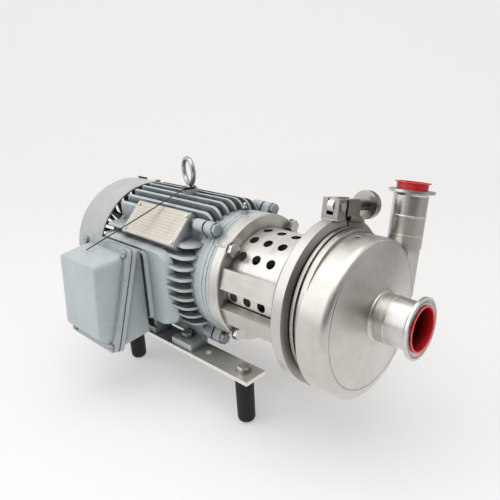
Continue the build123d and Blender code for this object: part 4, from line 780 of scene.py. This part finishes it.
station = parts_of(bolt_tree, object_place(bolt_tree))["X"]
rim_sliver = in_span(bolt_tree, sliver_low, sliver_high)
behind_head = calc(bolt_tree, "MULTIPLY", rim_sliver, calc(bolt_tree, "LESS_THAN", station, head_plane))
painted = calc(bolt_tree, "MULTIPLY", rim_sliver, calc(bolt_tree, "LESS_THAN", station, bell_plane))
blasted = mix_colour(bolt_tree, behind_head, colour_so_far(bolt_shader), (*steel_blasted, 1))
shank_colour = mix_colour(bolt_tree, painted, blasted, (*steel_blue, 1))
bolt_tree.links.new(shank_colour, bolt_shader.inputs["Base Color"])
bolt_tree.links.new(calc(bolt_tree, "SUBTRACT", 1.0, painted), bolt_shader.inputs["Metallic"])

# %% [markdown]
# ## Rubber, seals and shipping plugs
#
# The legs are black rubber buffers with a moulded skin. The plugs are thin red polythene, which
# lets some light through, so their shader scatters a little light under the surface. The cup of
# the suction plug is painted darker with its depth as painted shade, and the plugs' rims get a pale pink
# painted highlight.

# %% Rubber, seals and plugs
tree, rubber_shader = moulded("black_rubber", (0.013, 0.0135, 0.015), roughness=0.6, lumps=700.0,
                              depth=0.00012, dust=0.15)
rubber_shader.inputs["Specular IOR Level"].default_value = 0.25
moulded("white_seal", (0.72, 0.71, 0.68), roughness=0.45, lumps=800.0, depth=0.00004)
moulded("seal_ceramic", (0.78, 0.77, 0.72), roughness=0.2, lumps=1500.0, depth=0.00001)
moulded("seal_carbon", (0.035, 0.035, 0.037), roughness=0.35, lumps=1500.0, depth=0.00002)

# The plug's pale pink rim colour is a painted highlight, laid on along its edges.
plug_tree, plug_shader = moulded("red_plug", (0.74, 0.014, 0.022), roughness=0.24, lumps=500.0, depth=0.00006,
                                 dust=0.03, corner_shade=0.93, rim=(0.85, 0.5, 0.5, 1), rim_share=0.6)
plug_shader.inputs["Subsurface Weight"].default_value = 0.1
plug_shader.inputs["Subsurface Radius"].default_value = (0.003, 0.0006, 0.0006)
# The suction plug's cup grows darker towards its floor: painted shade.
cup_floor = -0.012
cup_mouth = 0.002
cup_radius = 0.0232
cup_shade_red = (0.04, 0.0006, 0.001, 1)
station = parts_of(plug_tree, object_place(plug_tree))["X"]
cup_shade_mask = remap(plug_tree, station, cup_floor, cup_mouth, 1.0, 0.0)
within = calc(plug_tree, "LESS_THAN", place_group(plug_tree, shaft_distance)["Distance"], cup_radius)
shaded_cup = lay_over(plug_tree, colour_so_far(plug_shader), cup_shade_mask, within, cup_shade_red)
plug_tree.links.new(shaded_cup, plug_shader.inputs["Base Color"])

# %% [markdown]
# ## Weld seams
#
# A weld is left as the torch left it: dull, a little brown, with a fine ripple. Painted shade darkens the
# narrow corners along its edges.

# %% Weld material
cast_metal("weld_seam", (0.66, 0.64, 0.61), roughness=0.24, lumps=1500.0, depth=0.00004,
           edge=0.0002, corner_shade=1.0, reach=0.003)

# %% [markdown]
# ## Nameplate metal
#
# The plate is thin anodised sheet, warm and pale. It is blank apart from its ruled lines, as an
# empty form is. The plate leans at 45 degrees, so one Mapping node turns the pattern upright:
# then X runs along the plate and Y up its slope. A ping-pong of each distance is near nothing
# at every line.

# %% Nameplate material
plate_lean = radians(45)
plate_station = -0.327
row_spacing = 0.0042
column_spacing = 0.033
rule_width = 0.00022
form_length = 0.091
form_width = 0.0342
rule_ink = (0.1, 0.085, 0.07, 1)

tree, plate_shader = worked("plate_metal", (0.6, 0.565, 0.5), 0.42, belt_lines,
                            {"Along X": 60.0, "Across": 700.0}, depth=0.00001, scratch=0.4)
upright = tree.nodes.new("ShaderNodeMapping")
upright.inputs["Rotation"].default_value = (-plate_lean, 0, 0)
tree.links.new(object_place(tree), upright.inputs["Vector"])
spot = parts_of(tree, upright.outputs["Vector"])
along = calc(tree, "SUBTRACT", spot["X"], plate_station)
rise = spot["Y"]


def ruled(distance, spacing):
    """Mask of thin lines at even distances."""
    return calc(tree, "LESS_THAN", calc(tree, "PINGPONG", distance, spacing / 2), rule_width)


def inside(distance, size):
    """Mask of what lies within half a size of the middle."""
    return calc(tree, "LESS_THAN", calc(tree, "ABSOLUTE", distance), size / 2)


form = calc(tree, "MULTIPLY", inside(along, form_length), inside(rise, form_width))
rules = calc(tree, "MAXIMUM", ruled(rise, row_spacing), ruled(along, column_spacing))
printed = lay_over(tree, colour_so_far(plate_shader), calc(tree, "MULTIPLY", rules, form), 0.5, rule_ink)
tree.links.new(printed, plate_shader.inputs["Base Color"])

# %% [markdown]
# ## Give every CAD node its finish
#
# Each imported node already carries a material named for its slot. The loop swaps
# that flat material for the one made above.

# %% Assign the finishes
missing = set()
for node in nodes.values():
    for place in node.material_slots:
        name = place.material.name
        if name in finishes:
            place.material = finishes[name]
        else:
            missing.add(name)
tie_tail.data.materials.append(finishes["black_nylon"])
print("finishes:", len(finishes), "without one:", sorted(missing))

# %% [markdown]
# ## Small pieces
#
# The CAD model has every part that moves or carries load. A few small things are left for the
# eye alone: weld seams, a grease nipple and a rubber stop. Each starts from a primitive at its
# real size, is shaped in edit mode, and gets its modifiers applied. The nipple's pieces are
# round or six-sided, so one helper draws a disc upwards step by step, as a turner would cut it.

# %% Piece helpers
smooth_below = radians(40)


def start_alone():
    """Leave nothing selected, because every operator acts on all that is."""
    if bpy.context.object and bpy.context.object.mode != "OBJECT":
        bpy.ops.object.mode_set(mode="OBJECT")
    bpy.ops.object.select_all(action="DESELECT")


def finish_piece(piece, name, body, slot, place, finish=None):
    """Apply what is live, move the mesh to its place, and give it a finish and a body."""
    piece.name = name
    piece.data.name = name
    for modifier in list(piece.modifiers):
        bpy.ops.object.modifier_apply(modifier=modifier.name)
    bpy.ops.object.shade_smooth_by_angle(angle=smooth_below)
    piece.data.transform(place)
    piece.data.materials.append(finishes[finish or slot])
    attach(piece, body)


def resize_mesh(size):
    """Resize the whole mesh of the active object about the origin."""
    bpy.ops.object.mode_set(mode="EDIT")
    bpy.ops.mesh.select_all(action="SELECT")
    bpy.ops.transform.resize(value=size, center_override=(0, 0, 0))
    bpy.ops.object.mode_set(mode="OBJECT")


def turned_up(start_radius, steps, sides):
    """Round or many-sided piece: a disc drawn upwards, each step with a rise and a new radius."""
    start_alone()
    bpy.ops.mesh.primitive_circle_add(vertices=sides, radius=start_radius, fill_type="NGON")
    bpy.ops.object.mode_set(mode="EDIT")
    bpy.ops.mesh.select_mode(type="FACE")
    bpy.ops.mesh.select_all(action="SELECT")
    radius = start_radius
    for rise, new_radius in steps:
        bpy.ops.mesh.extrude_region_move(TRANSFORM_OT_translate={"value": (0, 0, rise)})
        widen = new_radius / radius
        bpy.ops.transform.resize(value=(widen, widen, 1), center_override=(0, 0, 0))
        radius = new_radius
    bpy.ops.mesh.select_all(action="SELECT")
    bpy.ops.mesh.normals_make_consistent(inside=False)
    bpy.ops.object.mode_set(mode="OBJECT")
    return bpy.context.object

# %% [markdown]
# ## Weld beads
#
# The ferrules are welded to their tubes, and the suction stub to the drum. A weld is a low,
# wide ring with the ripples of the torch in it. A torus gives the ring, a resize along its axis
# makes it wide, and a displace modifier with a cloud texture breaks its even surface.

# %% Weld beads
torch_ripple = bpy.data.textures.new("torch_ripple", "CLOUDS")
torch_ripple.noise_scale = 0.0018
discharge_tilt = radians(-12.7)
discharge_line = (-0.066, 0.070)


def weld_seam(name, place, ring_radius, bead_radius, widen, ripple):
    """A low ring round Z, widened along its axis and rippled."""
    start_alone()
    bpy.ops.mesh.primitive_torus_add(major_radius=ring_radius, minor_radius=bead_radius,
                                     major_segments=160, minor_segments=10)
    resize_mesh((1, 1, widen))
    seam = bpy.context.object
    waves = seam.modifiers.new("ripple", "DISPLACE")
    waves.texture = torch_ripple
    waves.strength = ripple
    finish_piece(seam, name, "casing", "satin_stainless", place, finish="weld_seam")


def on_suction(station):
    """Place on the shaft's axis, with Z laid along it."""
    return Matrix.Translation((station, 0, 0)) @ Matrix.Rotation(radians(90), 4, "Y")


def on_discharge(height):
    """Place on the leaning discharge axis."""
    stand = Matrix.Translation((*discharge_line, height))
    return Matrix.Rotation(discharge_tilt, 4, "X") @ stand


weld_seam("suction_root_seam", on_suction(-0.0428), ring_radius=0.0263, bead_radius=0.0017,
          widen=1.1, ripple=0.0002)
weld_seam("suction_neck_seam", on_suction(-0.0286), ring_radius=0.0251, bead_radius=0.0008,
          widen=1.5, ripple=0.0003)
weld_seam("discharge_neck_seam", on_discharge(0.0990), ring_radius=0.01875, bead_radius=0.0008,
          widen=1.5, ripple=0.0003)
weld_seam("discharge_branch_seam", on_discharge(0.0780), ring_radius=0.01885, bead_radius=0.0004,
          widen=1.4, ripple=0.00015)

# %% [markdown]
# ## Grease nipple and rubber stop
#
# A grease nipple stands on the drive end bell, with a six-sided foot and a slim ball head. The
# foot is the same drawn-up disc with six sides. On the fan cover sits a small black rubber stop:
# a cube, flattened and rounded by a bevel modifier.

# %% Grease nipple
nipple_spot = (-0.2325, 0, 0.0783)


def nipple_piece(name, slot, base, start_radius, steps, sides):
    """One turned piece of the nipple, at a height above the bell; gives the height of its top."""
    place = Matrix.Translation(nipple_spot) @ Matrix.Translation((0, 0, base))
    finish_piece(turned_up(start_radius, steps, sides), name, "motor_and_base", slot, place)
    return base + sum(rise for rise, radius in steps)


boss_steps = [(0.0046, 0.0040), (0.0006, 0.0036)]
boss_top = nipple_piece("nipple_boss", "motor_paint", 0.0, 0.0048, boss_steps, sides=32)
foot_steps = [(0.0002, 0.0053), (0.0010, 0.0053), (0.0002, 0.0050)]
foot_top = nipple_piece("nipple_foot", "black_gasket", boss_top, 0.0050, foot_steps, sides=6)
head_steps = [(0.0022, 0.0020), (0.0010, 0.0014), (0.0006, 0.0014), (0.0006, 0.0020), (0.0010, 0.0022),
              (0.0009, 0.0015), (0.0003, 0.0008)]
head_top = nipple_piece("nipple_head", "zinc_steel", foot_top, 0.0025, head_steps, sides=24)
print("nipple height:", round(head_top * 1000, 1), "mm")

# %% Rubber stop on the fan cover
stop_size = (0.018, 0.006, 0.0034)
stop_corner = 0.0012
stop_spot = (-0.4875, 0, 0.0914)
stop_turn = radians(-19.5)

start_alone()
bpy.ops.mesh.primitive_cube_add(size=1, location=(0, 0, 0))
resize_mesh(stop_size)
rubber_stop = bpy.context.object
rounded_off = rubber_stop.modifiers.new("round", "BEVEL")
rounded_off.width = stop_corner
rounded_off.segments = 4
stop_place = Matrix.Rotation(stop_turn, 4, "X") @ Matrix.Translation(stop_spot)
finish_piece(rubber_stop, "cover_rubber_stop", "motor_and_base", "black_gasket", stop_place)
print("rubber stop:", len(rubber_stop.data.polygons), "faces")
